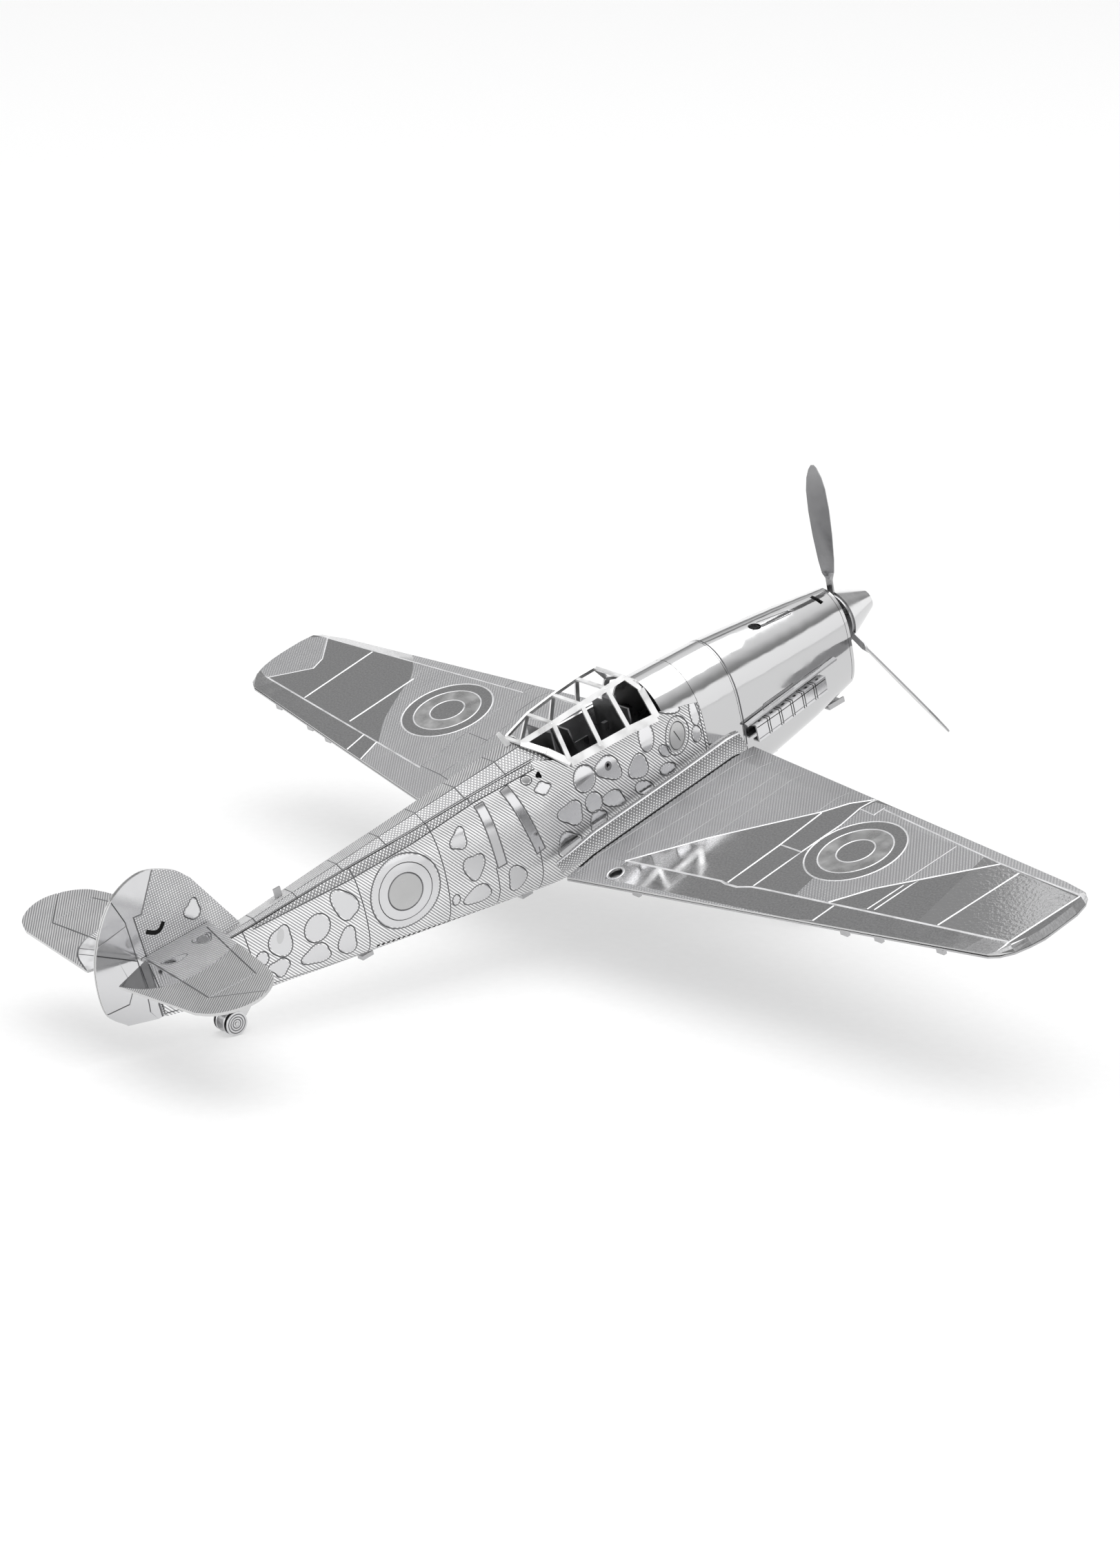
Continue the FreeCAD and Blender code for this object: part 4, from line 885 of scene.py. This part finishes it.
def exhaust_box(side, name):
    """Row of exhaust boxes folded from one strip: top, face and floor."""
    deep = 0.95

    def place(u, v):
        root = np.interp(u, HULL[:, 0], HULL[:, 1]) + 0.05
        high = np.interp(u, (6.2, 17.2), (-3.05, -3.55))
        tall = high - np.interp(u, (6.2, 17.2), (-4.85, -5.5))
        down = np.clip(v - deep, 0, tall)
        x = root + np.clip(v, 0, deep) - np.clip(v - deep - tall, 0, deep)
        return np.stack([side * x, u, high - down], 1)

    outline = [(6.2, 0), (17.2, 0), (17.2, deep + 1.95 + deep), (6.2, deep + 1.8 + deep)]
    folds = [[(6.2, deep), (17.2, deep)], [(6.2, deep + 1.8), (17.2, deep + 1.95)]]
    folds += [[(6.2, deep + 0.02), (17.2, deep + 0.02)], [(6.2, deep + 1.78), (17.2, deep + 1.93)]]
    grooves, holes, zones = [], [], []
    # near-black lines between the stubs: painted shadow in the creases
    for k in range(6):
        y = 6.2 + 11.0 * (k + 0.5) / 6
        holes.append(box(y, 0.5, 0.42, 0.3))
        if k:
            edge = 6.2 + 11.0 * k / 6
            for shift in (-0.16, 0.16):
                grooves.append(([(edge + shift, 0.1), (edge + shift, deep + 1.8)], 0.12, False, "gap"))
    # top face in the lighter ridge steel: painted highlight where it faces the overhead light
    zones.append(([(6.2, -0.1), (17.2, -0.1), (17.2, deep), (6.2, deep)], "ridge"))
    # near-black line along the face just below the top: painted shadow under its edge
    grooves.append(([(6.3, deep + 0.3), (17.1, deep + 0.3)], 0.1, False, "gap"))
    grooves.append(([(6.3, deep + 1.5), (17.1, deep + 1.65)], 0.1, False))

    def away(p):
        middle = np.interp(p[:, 1], (6.2, 17.2), (-3.95, -4.5))
        centre = np.stack([side * (np.interp(p[:, 1], HULL[:, 0], HULL[:, 1]) + 0.3), p[:, 1], middle], 1)
        return (p - centre) * [1, 0, 1]

    sheet("exhaust_box_" + name, "exhaust_row_" + name, place, outline, away, holes=holes,
          zones=zones, grooves=grooves, folds=folds, base="polish", step=2.0, depth=0.05)
    # near-black end plate on the exhaust row: painted shadow standing in for its open end
    root = float(np.interp(6.2, HULL[:, 0], HULL[:, 1])) + 0.05
    sheet("exhaust_shadow_cap_" + name, None, lambda u, v: np.stack([side * u, 6.22 + 0 * u, v], 1),
          [(root, -3.25), (root + 0.75, -3.25), (root + 0.75, -4.65), (root, -4.65)],
          lambda p: p * 0 + [0, -1, 0], grooves=[(loop(root + 0.38, -3.95, 0.2, 0.45), 0.1, True)],
          base="gap", step=2.0, line_class="satin")


def wheel_disc(side, name):
    """Ringed disc round the end of the tail-wheel axle, bored to clear it."""
    y, z, radius, bore = 83.8, -5.5, 1.22, 0.26
    rings = [(loop(0, 0, r), 0.12, True) for r in (0.45, 0.7, 0.97)]
    sheet("tail_disc_" + name, None,
          lambda u, v: np.stack([side * (1.16 + 0 * u), y + u, z + v], 1), loop(0, 0, radius, count=40),
          lambda p: p * 0 + [side, 0, 0], holes=[loop(0, 0, bore, count=24)], grooves=rings, base="polish",
          step=0.4, gauge=0.08, depth=0.03, body="rear_wheel")


for number, label in ((1, "left"), (-1, "right")):
    fillet_sheet(number, label)
    exhaust_box(number, label)
    fuselage_side(number, label)
    wing_sheet(number, label)
    tail_sheet(number, label)
    fin_sheet(number, label)
spine()
nose()
for number, label in ((1, "left"), (-1, "right")):
    wheel_disc(number, label)

# ---------------------------------------------------------------- CAD nodes that keep their shape
BRIGHT = ("propeller_shaft", "spinner", "tail_wheel", "exhaust_row")
# Parts inside the cockpit and fuselage get the dark steel: painted shade for the dim interior
PAINTED_SHADE_INSIDE = ("cockpit_floor", "instrument_panel", "seat", "control_stick", "headrest_frame", "firewall",
        "rear_bulkhead")
for label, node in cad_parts.items():
    kind = "bright" if label.startswith(BRIGHT) else "dark" if label in PAINTED_SHADE_INSIDE else "plain"
    kind = {"propeller": "blade", "canopy_frame": "lattice", "antenna_mast": "lattice"}.get(label, kind)
    node.data.materials.clear()
    node.data.materials.append(SOLID[kind])

# ---------------------------------------------------------------- studio and camera
FLOOR_GAP = 0.00002
PAPER_GRAIN, PAPER_GLOW = 900.0, 0.45
# Camera as solved from the photo, in the row frame
CAMERA_PLACE = (-0.302370, 0.233201, 0.133291)
CAMERA_AHEAD = (0.750286, -0.595834, -0.286447)
LENS_MM = 89.41
MODEL_MIDDLE = (0, 0, 0.02)

scene = bpy.context.scene
floor_mesh = bpy.data.meshes.new("studio_floor")
floor_mesh.from_pydata([(-4, -4, 0), (4, -4, 0), (4, 4, 0), (-4, 4, 0)], [], [(0, 1, 2, 3)])
floor = bpy.data.objects.new("studio_floor", floor_mesh)
scene.collection.objects.link(floor)
floor.location.z = -FLOOR_GAP
paper = bpy.data.materials.new("paper")
paper.use_nodes = True
shader = paper.node_tree.nodes["Principled BSDF"]
shader.inputs["Roughness"].default_value = 0.9
shader.inputs["Specular IOR Level"].default_value = 0.1
grain = noise(paper.node_tree.nodes, paper.node_tree.links,
              paper.node_tree.nodes.new("ShaderNodeTexCoord").outputs["Object"], PAPER_GRAIN)
tint(paper.node_tree.nodes, paper.node_tree.links, grain, (0.44, 0.44, 0.44), (0.46, 0.46, 0.46), shader)
shader.inputs["Emission Color"].default_value = (1, 1, 1, 1)
shader.inputs["Emission Strength"].default_value = PAPER_GLOW
floor_mesh.materials.append(paper)

world = bpy.data.worlds.new("studio")
scene.world = world
world.use_nodes = True
nodes, links = world.node_tree.nodes, world.node_tree.links
back = nodes["Background"]
direction = nodes.new("ShaderNodeTexCoord")
parts = nodes.new("ShaderNodeSeparateXYZ")
links.new(direction.outputs["Generated"], parts.inputs[0])
profile = nodes.new("ShaderNodeValToRGB")
ramp = profile.color_ramp
# Brightness of the sky by height, and two dark cards: direction, inner and outer angle, brightness
SKY_GAIN = 1.6
SKY = ((0.0, 0.8), (0.36, 0.84), (0.41, 0.2), (0.5, 0.26), (0.7, 0.62), (0.85, 0.72), (1.0, 0.72))
CARDS = (((0.755, -0.18, 0.63), 12.0, 16.0, 0.42), ((0.529, -0.46, 0.713), 2.0, 6.0, 0.3))
ramp.elements[0].position, ramp.elements[1].position = SKY[0][0], SKY[-1][0]
for height, _ in SKY[1:-1]:
    ramp.elements.new(height)
for element, (_, level) in zip(ramp.elements, SKY):
    element.color = (level, level, level, 1)
links.new(parts.outputs["Z"], profile.inputs["Fac"])
sky = math_node(nodes, links, "MULTIPLY", profile.outputs["Color"], SKY_GAIN)
for aim, near, far, shade in CARDS:
    toward = nodes.new("ShaderNodeVectorMath")
    toward.operation = "DOT_PRODUCT"
    toward.inputs[1].default_value = Vector(aim).normalized()
    links.new(direction.outputs["Generated"], toward.inputs[0])
    card = remap(nodes, links, toward.outputs["Value"], SKY_GAIN, shade, math.cos(math.radians(far)),
                 math.cos(math.radians(near)))
    sky = math_node(nodes, links, "MINIMUM", sky, card)
links.new(sky, back.inputs["Color"])
back.inputs["Strength"].default_value = 1.0


def softbox(name, place, size, power, target=MODEL_MIDDLE):
    light = bpy.data.lights.new(name, "AREA")
    light.shape = "RECTANGLE"
    light.size, light.size_y = size
    light.energy = power
    holder = bpy.data.objects.new(name, light)
    scene.collection.objects.link(holder)
    holder.location = place
    holder.rotation_mode = "QUATERNION"
    holder.rotation_quaternion = (Vector(target) - Vector(place)).to_track_quat("-Z", "Y")


softbox("overhead", (-0.15, 0.0, 1.0), (1.1, 1.1), 6.0)

camera_data = bpy.data.cameras.new("camera")
camera = bpy.data.objects.new("camera", camera_data)
scene.collection.objects.link(camera)
scene.camera = camera
camera_data.sensor_width = 36.0
camera_data.lens = LENS_MM
camera_data.clip_start = 0.01
camera_data.clip_end = 50.0
ahead = Vector(CAMERA_AHEAD).normalized()
camera.rotation_mode = "QUATERNION"
camera.rotation_quaternion = ahead.to_track_quat("-Z", "Y")
camera.location = CAMERA_PLACE
scene.view_settings.view_transform = "Standard"
